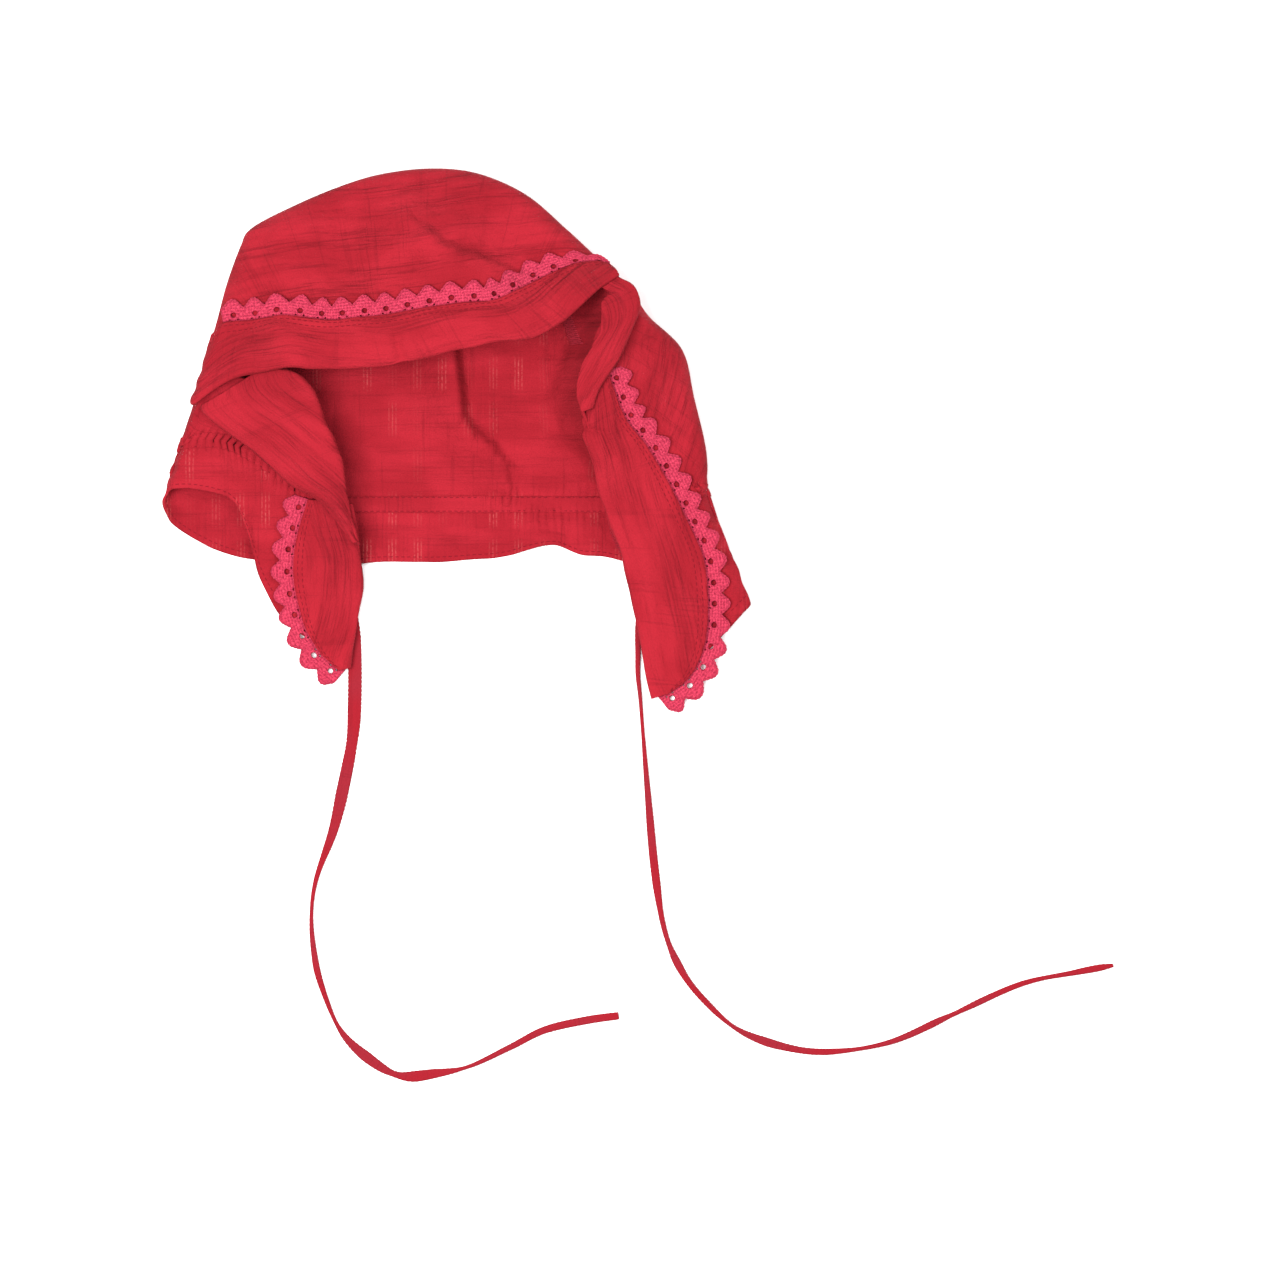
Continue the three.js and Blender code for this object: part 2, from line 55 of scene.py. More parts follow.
# Stands over the picture's middle, as high as the picture's width times lens over sensor
def makeCamera():
    view = cameraView
    middle = view["pixels"] / 2
    wide = view["pixels"] / view["pixelsPerMm"]
    data = bpy.data.cameras.new("camera")
    data.lens = view["lens"]
    data.sensor_width = view["sensor"]
    camera = bpy.data.objects.new("camera", data)
    camera.location = (
        (middle - view["originPixel"][0]) / view["pixelsPerMm"] * mm,
        (view["originPixel"][1] - middle) / view["pixelsPerMm"] * mm,
        wide * mm * view["lens"] / view["sensor"],
    )
    bpy.context.collection.objects.link(camera)
    bpy.context.scene.camera = camera


makeCamera()
print("camera placed")


# Materials

# A colour's sRGB hex value as linear red, green, blue and alpha
def linear(hexColour):
    parts = [int(hexColour[i:i + 2], 16) / 255 for i in (1, 3, 5)]
    return [c / 12.92 if c <= 0.04045 else ((c + 0.055) / 1.055) ** 2.4 for c in parts] + [1.0]


# A node with its settings. Its inputs, in order or by place, are values or other nodes' outputs.
def addNode(material, kind, inputs, out=0, **settings):
    tree = material.node_tree
    node = tree.nodes.new("ShaderNode" + kind)
    for name, value in settings.items():
        setattr(node, name, value)
    places = inputs if isinstance(inputs, dict) else dict(enumerate(inputs))
    for place, value in places.items():
        if isinstance(value, bpy.types.NodeSocket):
            tree.links.new(value, node.inputs[place])
        else:
            node.inputs[place].default_value = value
    return node.outputs[out] if node.outputs else node


# An empty material, with the function that adds nodes to it
def newMaterial(name):
    material = bpy.data.materials.new(name)
    material.use_nodes = True
    material.node_tree.nodes.clear()
    return material, partial(addNode, material)


# Closes a material: its colour, a bump whose height is in millimetres, and its look's dullness
def finishMaterial(add, colour, height, look):
    bump = add("Bump", {"Strength": look["bump"], "Distance": mm, "Height": height})
    shader = add("BsdfPrincipled", {"Base Color": colour, "Roughness": look["roughness"],
                                    "Specular IOR Level": look["specular"], "Normal": bump})
    add("OutputMaterial", {"Surface": shader})


# Noise drawn out to a size in millimetres along and across the cloth, sharpened between two levels
def drawnNoise(add, uv, size, shift, levels=(0.0, 1.0), detail=2.0, roughness=0.5):
    flat = add("Mapping", {0: uv, 1: (shift, shift, 0), 3: (1 / size[0], 1 / size[1], 1)})
    noise = add("TexNoise", {"Vector": flat, "Scale": 1.0, "Detail": detail, "Roughness": roughness})
    return add("MapRange", (noise, *levels, 0.0, 1.0), interpolation_type="SMOOTHSTEP")


# The sum of patterns, each times its own weight
def weighedSum(add, *patterns):
    total = 0.0
    for pattern, weight in patterns:
        total = add("Math", (pattern, weight, total), operation="MULTIPLY_ADD")
    return total


# Double cotton gauze, woven with slubs and a faint check, and washed until it crinkled: matt all over,
# with groups of long heavier threads that look darker
gauzeLook = {
    "colour": "#8E1A25",
    "shade": "#81151F",
    "deep": "#560C14",
    "threadMm": 0.7,            # twice the real thread spacing, which would be too fine to show
    # Each pattern's size along and across the cloth in millimetres, its place in the noise, the levels
    # that it rises between, its detail and its roughness
    "patterns": {
        "stripe": ((90.0, 6.5), 1.3, (0.42, 0.62)),
        "line": ((24.0, 0.85), 3.7, (0.47, 0.66), 3.0, 0.6),
        "crossStripe": ((6.5, 90.0), 8.3, (0.48, 0.62)),
        "crossLine": ((0.9, 26.0), 6.1, (0.48, 0.66)),
        "crease": ((22.0, 3.4), 9.1, (0.0, 1.0), 2.0, 0.45),
        "crinkle": ((3.0, 2.4), 4.4, (0.0, 1.0), 3.0, 0.6),
        "blotch": ((30.0, 14.0), 2.9, (0.35, 0.65)),
        "grain": ((0.75, 0.5), 5.2, (0.35, 0.7), 1.0),
    },
    "darken": {"lines": 0.36, "crossed": 0.22, "stripe": 0.08, "grain": 0.16},
    "raise": {"weave": 0.04, "lines": -0.25, "crossed": -0.12, "crease": 1.2, "crinkle": 0.75},
    "roughness": 0.95,
    "specular": 0.08,
    "bump": 0.75,
}


# Stripes and a fainter check darken the colour, and with the weave, creases and crinkles they raise it
def gauzeMaterial(name, sheer=0.0, slub=1.0, crinkle=1.0, colour=None):
    look = gauzeLook
    dark = look["darken"]
    high = look["raise"]
    material, add = newMaterial(name)
    uv = add("UVMap", (), uv_map="cloth")
    threads = []
    for way in (0, 1):
        place = add("SeparateXYZ", (uv,), way)
        turns = add("Math", (place, 2 * np.pi / look["threadMm"]), operation="MULTIPLY")
        threads.append(add("Math", (turns,), operation="SINE"))
    weave = add("Math", threads, operation="MULTIPLY")
    noise = {pattern: drawnNoise(add, uv, *shape) for pattern, shape in look["patterns"].items()}
    lines = add("Math", (noise["stripe"], noise["line"]), operation="MULTIPLY")
    crossed = add("Math", (noise["crossStripe"], noise["crossLine"]), operation="MULTIPLY")
    darker = weighedSum(add, (lines, dark["lines"] * slub), (crossed, dark["crossed"]),
                        (noise["stripe"], dark["stripe"] * slub), (noise["grain"], dark["grain"]))
    plain = add("Mix", {0: noise["blotch"], 6: linear(colour or look["colour"]), 7: linear(look["shade"])}, 2,
                data_type="RGBA")
    tint = add("Mix", {0: darker, 6: plain, 7: linear(look["deep"])}, 2, data_type="RGBA")
    if sheer > 0:
        thin = sheerMarks(add, uv, sheer)
        tint = add("Mix", {0: thin, 6: tint, 7: linear(sheerLook["colour"])}, 2, data_type="RGBA")
    height = weighedSum(add, (weave, high["weave"]), (lines, high["lines"] * slub),
                        (crossed, high["crossed"]), (noise["crease"], high["crease"] * slub),
                        (noise["crinkle"], high["crinkle"] * crinkle))
    finishMaterial(add, tint, height, look)
    return material


# Where the gauze is thin and the light behind it shows: short rows of dashes, in groups on a loose grid
sheerLook = {
    "colour": "#A64B4A",
    "groupMm": (10.5, 19.0),
    "emptyCells": 0.3,
    # Where a group ends and where it is full, as shares of a cell from the cell's middle
    "groupEnds": ((0.24, 0.08), (0.46, 0.2)),
    "lineMm": 1.5,
    "lineLevels": (0.7, 0.98),
    "dashes": ((0.9, 1.3), 2.2, (0.36, 0.6), 3.0, 0.6),
}


# Fine lines cut into dashes, inside those cells of the grid that a random draw for each cell has chosen
def sheerMarks(add, uv, strength):
    look = sheerLook
    cell = add("Mapping", {0: uv, 3: (1 / look["groupMm"][0], 1 / look["groupMm"][1], 1)})
    whole = add("VectorMath", (cell,), operation="FLOOR")
    chance = add("TexWhiteNoise", (whole,))
    marks = add("MapRange", (chance, look["emptyCells"], 1.0, 0.0, strength))
    part = add("VectorMath", (cell,), operation="FRACTION")
    for way, (end, full) in enumerate(look["groupEnds"]):
        offMiddle = add("Math", (add("SeparateXYZ", (part,), way), 0.5), operation="SUBTRACT")
        near = add("Math", (offMiddle,), operation="ABSOLUTE")
        inside = add("MapRange", (near, end, full, 0.0, 1.0), interpolation_type="SMOOTHSTEP")
        marks = add("Math", (marks, inside), operation="MULTIPLY")
    turns = add("Math", (add("SeparateXYZ", (uv,)), np.pi / look["lineMm"]), operation="MULTIPLY")
    swing = add("Math", (turns,), operation="SINE")
    size = add("Math", (swing,), operation="ABSOLUTE")
    line = add("MapRange", (size, *look["lineLevels"], 0.0, 1.0))
    dashes = drawnNoise(add, uv, *look["dashes"])
    for pattern in (line, dashes):
        marks = add("Math", (marks, pattern), operation="MULTIPLY")
    return marks


# Mercerised cotton yarn, crocheted: matt and bright, with the stitches as crossed ridges
crochetLook = {
    "colour": "#BA374F",
    # The shade colour is painted shade for the gaps between the stitches, and the dark of the fuzz's random
    # mottle
    "shade": "#861B32",
    "yarnMm": 2.5,
    "plyMm": 0.9,
    "wobble": 6.0,
    # How much the ridges and the fuzz count, for the colour, which is painted shade between the stitches with
    # a random mottle, and for the height
    "darken": (0.2, 0.8),
    "raise": (0.3, 0.4),
    "shadeAndMottleLevels": (0.65, 0.12),
    "bump": 0.8,
    "roughness": 0.9,
    "specular": 0.12,
}


# Two sets of slanting ridges at the pitch of the stitches, which a fuzz of plies bends, with painted shade
# between the ridges and a random mottle from the fuzz
def crochetMaterial(name):
    look = crochetLook
    material, add = newMaterial(name)
    uv = add("UVMap", (), uv_map="cloth")
    along, across = (add("SeparateXYZ", (uv,), way) for way in (0, 1))
    fuzz = drawnNoise(add, uv, (look["plyMm"], look["plyMm"]), 0.0)
    ridges = []
    for slant in ("ADD", "SUBTRACT"):
        way = add("Math", (along, across), operation=slant)
        bent = weighedSum(add, (way, 2 * np.pi / look["yarnMm"]), (fuzz, look["wobble"]))
        ridges.append(add("Math", (bent,), operation="SINE"))
    crossed = add("Math", ridges, operation="MULTIPLY")
    mixed = weighedSum(add, *zip((crossed, fuzz), look["darken"]))
    # Painted shade in the gaps between the crossed ridges, mixed with a random mottle from the fuzz
    gapShadeAndMottle = add("MapRange", (mixed, *look["shadeAndMottleLevels"], 0.0, 1.0))
    tint = add("Mix", {0: gapShadeAndMottle, 6: linear(look["colour"]), 7: linear(look["shade"])}, 2, data_type="RGBA")
    finishMaterial(add, tint, weighedSum(add, *zip((crossed, fuzz), look["raise"])), look)
    return material


# Spun polyester thread: matt, and mottled by its two plies
threadLook = {"plyMm": 0.4, "mottle": 0.7, "bump": 0.2, "roughness": 0.85, "specular": 0.05}


# One colour, which noise at the size of a ply darkens and raises
def threadMaterial(name, colour):
    look = threadLook
    material, add = newMaterial(name)
    place = add("TexCoord", (), "Object")
    ply = add("TexNoise", {"Vector": place, "Scale": 1 / (look["plyMm"] * mm)})
    dark = [look["mottle"] * c for c in linear(colour)[:3]] + [1.0]
    tint = add("Mix", {0: ply, 6: linear(colour), 7: dark}, 2, data_type="RGBA")
    finishMaterial(add, tint, ply, look)
    return material


clothMaterial = gauzeMaterial("crinkled double gauze")
backMaterial = gauzeMaterial("double gauze with sheer checks", sheer=0.6, slub=0.5)
brimMaterial = gauzeMaterial("turned-back double gauze", slub=1.1, crinkle=0.9)
casingMaterial = gauzeMaterial("gauze gathered over elastic", slub=0.3, crinkle=0.7)
tieMaterial = gauzeMaterial("folded gauze strip", slub=0.4, crinkle=0.5, colour="#7C1C26")
crochetCotton = crochetMaterial("crocheted mercerised cotton")
seamThread = threadMaterial("polyester seam thread", "#6A101B")
overlockThread = threadMaterial("fluffy overlock thread", "#962431")
print("materials made")


# Working shapes

# Rows of a table between its rows: a Catmull-Rom curve through each column at the places asked
def smoothRows(rows, places):
    rows = np.asarray(rows, float)
    last = len(rows) - 1
    start = np.clip(np.floor(places).astype(int), 0, last - 1)
    t = (places - start)[:, None]
    a, b, c, d = (rows[np.clip(start + step, 0, last)] for step in (-1, 0, 1, 2))
    return b + 0.5 * ((c - a) * t + (2 * a - 5 * b + 4 * c - d) * t ** 2 + (3 * b - a - 3 * c + d) * t ** 3)


# As many rows as asked, evenly between a table's first row and its last
def fineRows(rows, count):
    return smoothRows(rows, np.linspace(0, len(rows) - 1, count))


# One column of a table, standing upright
def column(rows, index):
    return rows[:, index][:, None]


# Distance between two places that each row holds, named by the columns of their x
def span(rows, first, second):
    offX, offY = (column(rows, first + way) - column(rows, second + way) for way in (0, 1))
    return np.hypot(offX, offY)


# The value at a share of the way from one value to another
def between(start, end, share):
    return start + (end - start) * share


# Vectors over their own length, which makes it one, or over the least length that counts
def unit(vectors, least=1e-12):
    return vectors / np.maximum(np.linalg.norm(vectors, axis=-1, keepdims=True), least)


# Unit normals of a grid of points: the cross product of its two directions
def gridNormals(points):
    return unit(np.cross(np.gradient(points, axis=0), np.gradient(points, axis=1)))


# Distance along a line of points, from its first
def runLength(points):
    steps = np.linalg.norm(np.diff(points, axis=0), axis=1)
    return np.concatenate([[0], np.cumsum(steps)])


# Places at distances along a line of points, whose own distances are its run
def placesAt(points, run, distances):
    return np.stack([np.interp(distances, run, places) for places in points.T], -1)


# Two unit directions square to a path at each of its points: sideways, then upwards
def pathSides(path):
    tangent = unit(np.gradient(path, axis=0), 1e-9)
    across = unit(np.cross(tangent, (0, 0, 1.0)), 1e-9)
    return across, np.cross(across, tangent)


# Each value made the mean of as many around it as the count
def evenOut(values, count):
    return np.convolve(np.pad(values, count // 2, "edge"), np.ones(count) / count, "valid")


# Soft uneven ripples: sines in a few directions, whose wavelengths are near the one asked
def ripples(x, y, wave, seed, count=7):
    local = np.random.default_rng(seed)
    total = np.zeros_like(x)
    for angle, stretch, phase in zip(local.uniform(0, np.pi, count), local.uniform(0.7, 1.5, count),
                                     local.uniform(0, 2 * np.pi, count)):
        total += np.sin((x * np.cos(angle) + y * np.sin(angle)) * 2 * np.pi / (wave * stretch) + phase)
    return total / count ** 0.5


# A mesh object from arrays of corners in millimetres, faces and one UV for each face corner
def addPiece(name, vertices, faces, material, uv=None, smooth=True):
    mesh = bpy.data.meshes.new(name)
    faces = np.asarray(faces)
    mesh.vertices.add(len(vertices))
    mesh.vertices.foreach_set("co", (np.asarray(vertices, float) * mm).ravel())
    mesh.loops.add(faces.size)
    mesh.loops.foreach_set("vertex_index", faces.ravel())
    mesh.polygons.add(len(faces))
    mesh.polygons.foreach_set("loop_start", np.arange(0, faces.size, faces.shape[1]))
    mesh.polygons.foreach_set("use_smooth", np.full(len(faces), smooth))
    mesh.update(calc_edges=True)
    if uv is not None:
        mesh.uv_layers.new(name="cloth").data.foreach_set("uv", np.asarray(uv, float).ravel())
    mesh.validate()
    mesh.materials.append(material)
    piece = bpy.data.objects.new(name, mesh)
    bpy.context.collection.objects.link(piece)
    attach(piece, "root")
    return piece


# Four-cornered faces between the points of a grid, row by row
def gridFaces(rows, columns):
    index = np.arange(rows * columns).reshape(rows, columns)
    return np.stack([index[:-1, :-1], index[:-1, 1:], index[1:, 1:], index[1:, :-1]], axis=-1).reshape(-1, 4)


# Faces of a closed tube of rings of points: round its side, and strips across both ends
def tubeFaces(rings, sides):
    index = np.arange(rings * sides).reshape(rings, sides)
    ahead = np.roll(index, -1, axis=1)
    side = np.stack([index[:-1], index[1:], ahead[1:], ahead[:-1]], -1).reshape(-1, 4)
    strip = np.arange(sides // 2 - 1)
    cap = np.stack([strip, strip + 1, -strip - 2, -strip - 1], -1)
    return np.concatenate([side, index[0][cap], index[-1][cap][:, ::-1]])


# A sheet through a grid of points, given its thickness evenly to both sides
def gridSheet(name, points, uv, material, thickness, flip=False):
    rows, columns = points.shape[:2]
    faces = gridFaces(rows, columns)
    if flip:
        faces = faces[:, ::-1]
    piece = addPiece(name, points.reshape(-1, 3), faces, material, uv.reshape(-1, 2)[faces])
    thicken(piece, thickness)
    return piece


# Gives a surface its thickness, half to each side
def thicken(piece, thickness):
    wall = piece.modifiers.new("wall", "SOLIDIFY")
    wall.thickness = thickness * mm
    wall.offset = 0.0


# Lifts whatever lies lower than a height, so that nothing dips into the floor
def keepAboveFloor(points, lowest):
    points[..., 2] = np.maximum(points[..., 2], lowest)


# Joins corners closer than the gap and drops the faces that vanish
def mergeDoubles(piece, gap=0.02):
    work = bmesh.new()
    work.from_mesh(piece.data)
    bmesh.ops.remove_doubles(work, verts=work.verts, dist=gap * mm)
    bmesh.ops.dissolve_degenerate(work, edges=work.edges, dist=gap * mm * 0.5)
    work.to_mesh(piece.data)
    work.free()


# Ties: flat strips of folded cloth, free cords that lie in loose curves. Columns: x y z.
leftTieRoute = [
    (-44, -65, 3.4), (-43, -74, 1.9), (-42, -84, 1.05), (-42, -107, 1), (-43, -124, 1), (-47, -145, 1),
    (-51, -162, 1), (-58, -182, 1), (-60, -197, 1), (-59, -212, 1), (-56, -226, 1), (-48, -245, 1),
    (-36, -257, 1), (-23, -264, 1), (-8, -263, 1), (6, -260, 1), (23, -252, 1), (37, -245, 1),
    (54, -241, 1), (68, -239, 1),
]
rightTieRoute = [
    (77, -68, 3.2), (76, -78, 1.7), (76, -88, 1), (76, -97, 1), (77, -107, 1), (78, -120, 1), (80, -145, 1),
    (83, -178, 1), (87, -203, 1), (94, -220, 1), (104, -233, 1), (118, -245, 1), (137, -252, 1),
    (156, -254, 1), (181, -250, 1), (206, -239, 1), (235, -226, 1), (258, -221, 1), (274, -218, 1),
]
# How wide a twisting strip looks from above at distances along it. Columns: distance, width.
leftTieWidths = [
    (0, 4.6), (32, 5.2), (49, 5.2), (62, 4.2), (68, 4.6), (84, 4.8), (97, 3.8), (106, 3), (113, 2.2),
    (124, 1.6), (134, 1.4), (145, 2), (157, 2.7), (168, 2.1), (181, 1.4), (190, 2.8), (200, 4.3),
    (209, 3.4), (214, 2.1), (222, 4.4), (230, 3.8), (243, 1.4), (255, 2), (266, 2.4), (286, 3), (300, 3.1),
    (312, 2.9),
]
rightTieWidths = [
    (0, 2.4), (23, 2), (44, 1.4), (54, 1.4), (64, 1.8), (78, 2.4), (91, 3), (104, 3.2), (117, 3.2),
    (128, 2.2), (142, 1.9), (151, 3.2), (158, 2.5), (175, 2.3), (186, 1.5), (194, 2.6), (202, 3.5),
    (214, 2.6), (228, 2.5), (240, 1.6), (248, 1.8), (262, 2.5), (275, 2.8), (283, 1.7), (294, 2.5),
    (316, 2.1), (325, 1.7), (334, 2), (343, 2.7), (349, 2.6), (353, 1.2),
]
tieLook = {
    "width": 4.4,
    "thick": 1.5,
    "fullness": 1.1,
    "thickenBy": 0.25,          # share of the lost width, where the strip turns on edge
    "sides": 16,
    "squareness": 0.55,
    "routeSteps": 4000,
    "stepMm": 0.6,
    "evenOver": 9,
    "fray": 0.05,
    "frayWaves": (5.1, 1.7),
    "grooveAt": 0.28,
    "grooveHalf": 0.35,
    "grooveDeep": 0.12,
    "upperFrom": 0.4,
    "lowest": 0.05,
    "cordEvery": 6,
}


# A flat strip: a soft-cornered oblong carried along its route, narrower and taller where it turns on edge
def makeTie(name, node, route, widths):
    look = tieLook
    fine = fineRows(route, look["routeSteps"])
    run = runLength(fine)
    distances = np.linspace(0, run[-1], int(run[-1] / look["stepMm"]))
    path = placesAt(fine, run, distances)
    width = evenOut(np.interp(distances, *np.array(widths, float).T), look["evenOver"])
    quick, slow = (np.sin(distances * wave) for wave in look["frayWaves"])
    width = look["fullness"] * width * (1 + look["fray"] * quick * slow)
    thick = look["thick"] + look["thickenBy"] * np.clip(look["width"] - width, 0, None)
    across, above = pathSides(path)
    angles = np.linspace(0, 2 * np.pi, look["sides"], endpoint=False)
    flatX, flatY = ((np.sign(wave) * np.abs(wave) ** look["squareness"])[None, :]
                    for wave in (np.cos(angles), np.sin(angles)))
    acrossBy = (flatX * width[:, None] / 2)[..., None]
    aboveBy = (flatY * thick[:, None] / 2)[..., None]
    rings = path[:, None] + acrossBy * across[:, None] + aboveBy * above[:, None]
    rings[..., 2] += (thick - look["thick"])[:, None] / 2
    # The raw edges meet in a groove near one side of the upper face
    offGroove = (flatX / 2 - look["grooveAt"]) * width[:, None] / look["grooveHalf"]
    rings[..., 2] -= look["grooveDeep"] * np.exp(-offGroove ** 2) * (flatY > look["upperFrom"])
    keepAboveFloor(rings, look["lowest"])
    faces = tubeFaces(*rings.shape[:2])
    uv = np.stack([distances[:, None] + 0 * flatX, acrossBy[..., 0]], -1).reshape(-1, 2)
    piece = addPiece(name, rings.reshape(-1, 3), faces, tieMaterial, uv[faces])
    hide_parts(node)
    route = [tuple(place * mm) for place in np.vstack([path[::look["cordEvery"]], path[-1:]])]
    print(name, "length", round(run[-1], 1), "mm")


makeTie("leftTieStrip", "left_tie", leftTieRoute, leftTieWidths)
makeTie("rightTieStrip", "right_tie", rightTieRoute, rightTieWidths)
print("ties made")


# Each cloth's grid of places, its normals and its thickness, which its stitches follow
surfaces = {}

# The form that the bonnet's upper layer takes, as heights at a few places
formPosts = np.array([
    (-23, 40, 35), (-65, 38, 31), (-96, 28, 21), (-110, 16, 15), (19, 47, 37), (56, 59, 37), (75, 59, 30),
    (-15, 86, 29), (-15, 110, 14), (-52, 101, 14), (-65, 82, 23), (-88, 84, 13), (27, 97, 14), (42, 78, 20),
    (60, 74, 19), (-104, 34, 15), (77, 18, 23), (94, 38, 15), (100, 14, 13), (104, -15, 11), (60, 9, 26),
    (81, -32, 15), (102, -49, 9), (121, -66, 6), (83, -82, 5), (83, -107, 1.6), (-77, 1, 19), (-102, 1, 13),
    (-119, -20, 13), (-92, -24, 12), (-48, -12, 21), (-44, -43, 14), (-65, -49, 9), (-46, -70, 6),
    (-52, -93, 1.6), (-79, -66, 3.5),
])
formLook = {"postReach": 17.0, "edgeRoll": 9.0, "clothThick": 1.0, "floorLift": 0.7}


# Height of the upper layer: the posts' heights, each weighed by its nearness squared
def formHeight(x, y):
    weights = 0
    total = 0
    for postX, postY, postZ in formPosts:
        near = 1 / ((x - postX) ** 2 + (y - postY) ** 2 + formLook["postReach"] ** 2) ** 2
        weights = weights + near
        total = total + near * postZ
    return total / weights


# Height of a layer between the surface, at a lift of 0, and the upper layer, at 1
def layerHeight(x, y, lift):
    return between(formLook["floorLift"], formHeight(x, y), lift)


# Rise of ridges and dents: for each line, a bell across it with its own reach to left and right
def foldRise(folds, x, y):
    rise = np.zeros_like(x)
    for fromX, fromY, toX, toY, height, left, right in folds:
        runX, runY = toX - fromX, toY - fromY
        share = np.clip(((x - fromX) * runX + (y - fromY) * runY) / (runX ** 2 + runY ** 2), 0, 1)
        offX, offY = x - fromX - share * runX, y - fromY - share * runY
        reach = np.where(runX * offY - runY * offX > 0, left, right)
        here = height * np.exp(-(offX ** 2 + offY ** 2) / reach ** 2)
        rise = np.where(np.abs(here) > np.abs(rise), here, rise)
    return rise


# How far a rolled edge has turned: 1 at the fold, falling on a quarter circle to 0 past its reach
def rollShare(share):
    return 1 - np.sqrt(1 - (1 - np.clip(share, 0, 1)) ** 2)


# Crown, casing and frill: sections round the head, from the rim at the face over the fold that the
# bonnet lies on to the neck casing and the hem. Columns: rim x y, fold x y lift, neck x y, hem x y lift.
clothRows = np.array([
    (-50, -24, -57, -32, 1, -57, -32, -55, -85, 1),
    (-55, -13, -65, -19, 1, -65, -19, -71, -75, 1),
    (-60, 2, -75, -11, 1, -75, -11, -81, -57, 1),
    (-68, 14, -86, -4, 1, -86, -4, -86, -39, 1),
    (-78, 22, -96, 0, 1, -96, 0, -92, -25, 1),
    (-87, 26, -105, 1, 1, -105, 1, -106, -20, 1),
    (-92, 28, -111, 0, 0.85, -111, 0, -118, -20, 0.9),
    (-94, 30, -114, -1, 0.5, -114, -1, -122, -25, 0.5),
    (-95, 32, -109, 14, 0.5, -111, -6, -118, -34, 0.06),
    (-92, 36, -104, 32, 0.5, -100, -13, -104, -43, 0),
    (-86, 38, -99, 49, 0.5, -84, -20, -90, -48, 0),
    (-75, 40, -94.6, 65.5, 0.5, -69, -24, -73, -50, 0),
    (-69, 41, -89, 81, 0.5, -62.5, -24.5, -66, -50.5, 0),
    (-63, 42, -84.5, 88.5, 0.5, -56, -25, -59, -51, 0),
    (-50, 43, -68, 97.2, 0.5, -44, -26, -44, -51, 0),
    (-38, 43, -50, 105, 0.5, -31, -26, -31, -50, 0),
    (-25, 44, -32, 110.6, 0.5, -19, -26, -19, -50, 0),
    (-11, 46, -11, 113.2, 0.5, -6, -26, -6, -50, 0),
    (2, 49, 9, 111.2, 0.5, 6, -26, 7, -49, 0),
    (16, 51, 29, 102.5, 0.5, 19, -26, 19, -48, 0.04),
    (30, 55, 46, 88, 0.5, 30, -26, 30, -45, 0.3),
    (42, 59, 60, 75, 0.5, 41, -26, 42, -43, 0.22),
    (55, 67, 72, 64, 0.5, 52, -26, 52, -47, 0.04),
    (66, 58, 80, 52, 0.5, 62, -26, 63, -48, 0),
    (66, 50, 94, 38, 0.5, 75, -26, 77, -52, 0),
    (65, 38, 99, 18, 0.5, 86, -25, 91, -59, 0),
    (63, 27, 104, -4, 0.5, 97, -23, 108, -65, 0.06),
    (62, 19, 104, -20, 0.5, 104, -20, 122, -67, 0.5),
    (62, 13, 101, -20, 0.85, 101, -20, 119, -72, 0.9),
    (63, 4, 94, -21, 1, 94, -21, 111, -81, 1),
    (65, -8, 86, -24, 1, 86, -24, 101, -91, 1),
    (68, -19, 80, -29, 1, 80, -29, 94, -97, 1),
    (72, -30, 76, -35, 1, 76, -35, 90, -99, 1),
], float)
backFolds = [
    (-3, 48, 0.5, 22, 9, 2.6, 13), (0.5, 22, 1.5, 11, 8.5, 2.6, 12), (1.5, 11, 6, 4, 7, 2.4, 11),
    (6, 4, 15, -3, 5.5, 2.3, 10), (15, -3, 20.5, -13, 3.6, 2.2, 8), (20.5, -13, 22, -20, 1.8, 2, 6),
]
crownFolds = [
    (-13, 88, -9, 84, 3, 2, 10), (-9, 84, -5, 80.5, 5, 2.2, 12), (-5, 80.5, 1, 78, 6, 2.2, 13),
    (1, 78, 12, 74.5, 5.2, 2.2, 12), (12, 74.5, 20, 69.5, 3.2, 2.2, 9),
]
clothLook = {
    "sections": 470,
    "backColumns": 54,
    "topColumns": 48,
    # Columns lie closest where the cloth shows and round the fold: share of columns, share of the run
    "backSpacing": ((0, 0.75, 0.86, 1), (0, 0.56, 0.92, 1)),
    "topSpacing": ((0, 0.16, 0.85, 1), (0, 0.12, 0.72, 1)),
    "looseMm": (14.0, 6.0),     # how far from the fold and from the rim the top is held smooth
    "rippleMm": (24.0, 9.0),
    "rippleDraw": 1.5,
    "rippleRise": (0.45, 0.25),
    "gatherMm": 3.3,            # one pucker of the elastic shirring
    "gatherDrift": (1.3, 9.0),
    "gatherSlant": (0.5, 3.0, 4.0),
    "slowGathers": (0.5, 2.7),
    "gatherRise": 0.75,
    "gatherReach": 6.5,
}
frillLook = {
    "columns": 24,
    "fluteMm": 17.0,
    "fluteRise": 0.9,
    "fluteDrift": (1.5, 23.0),
    "fluteGrowth": 1.5,
    "rippleMm": 11.0,
    "rippleRise": 0.3,
    "rippleGrowth": 3,
    "gatherReach": 1.5,
    "hemMm": 5.5,
    "hemEdge": 0.8,
    "hemRise": 0.35,
}
casingLook = {"half": 3.4, "thick": 1.9, "columns": 13, "bulge": 0.105, "lowest": 1.0}
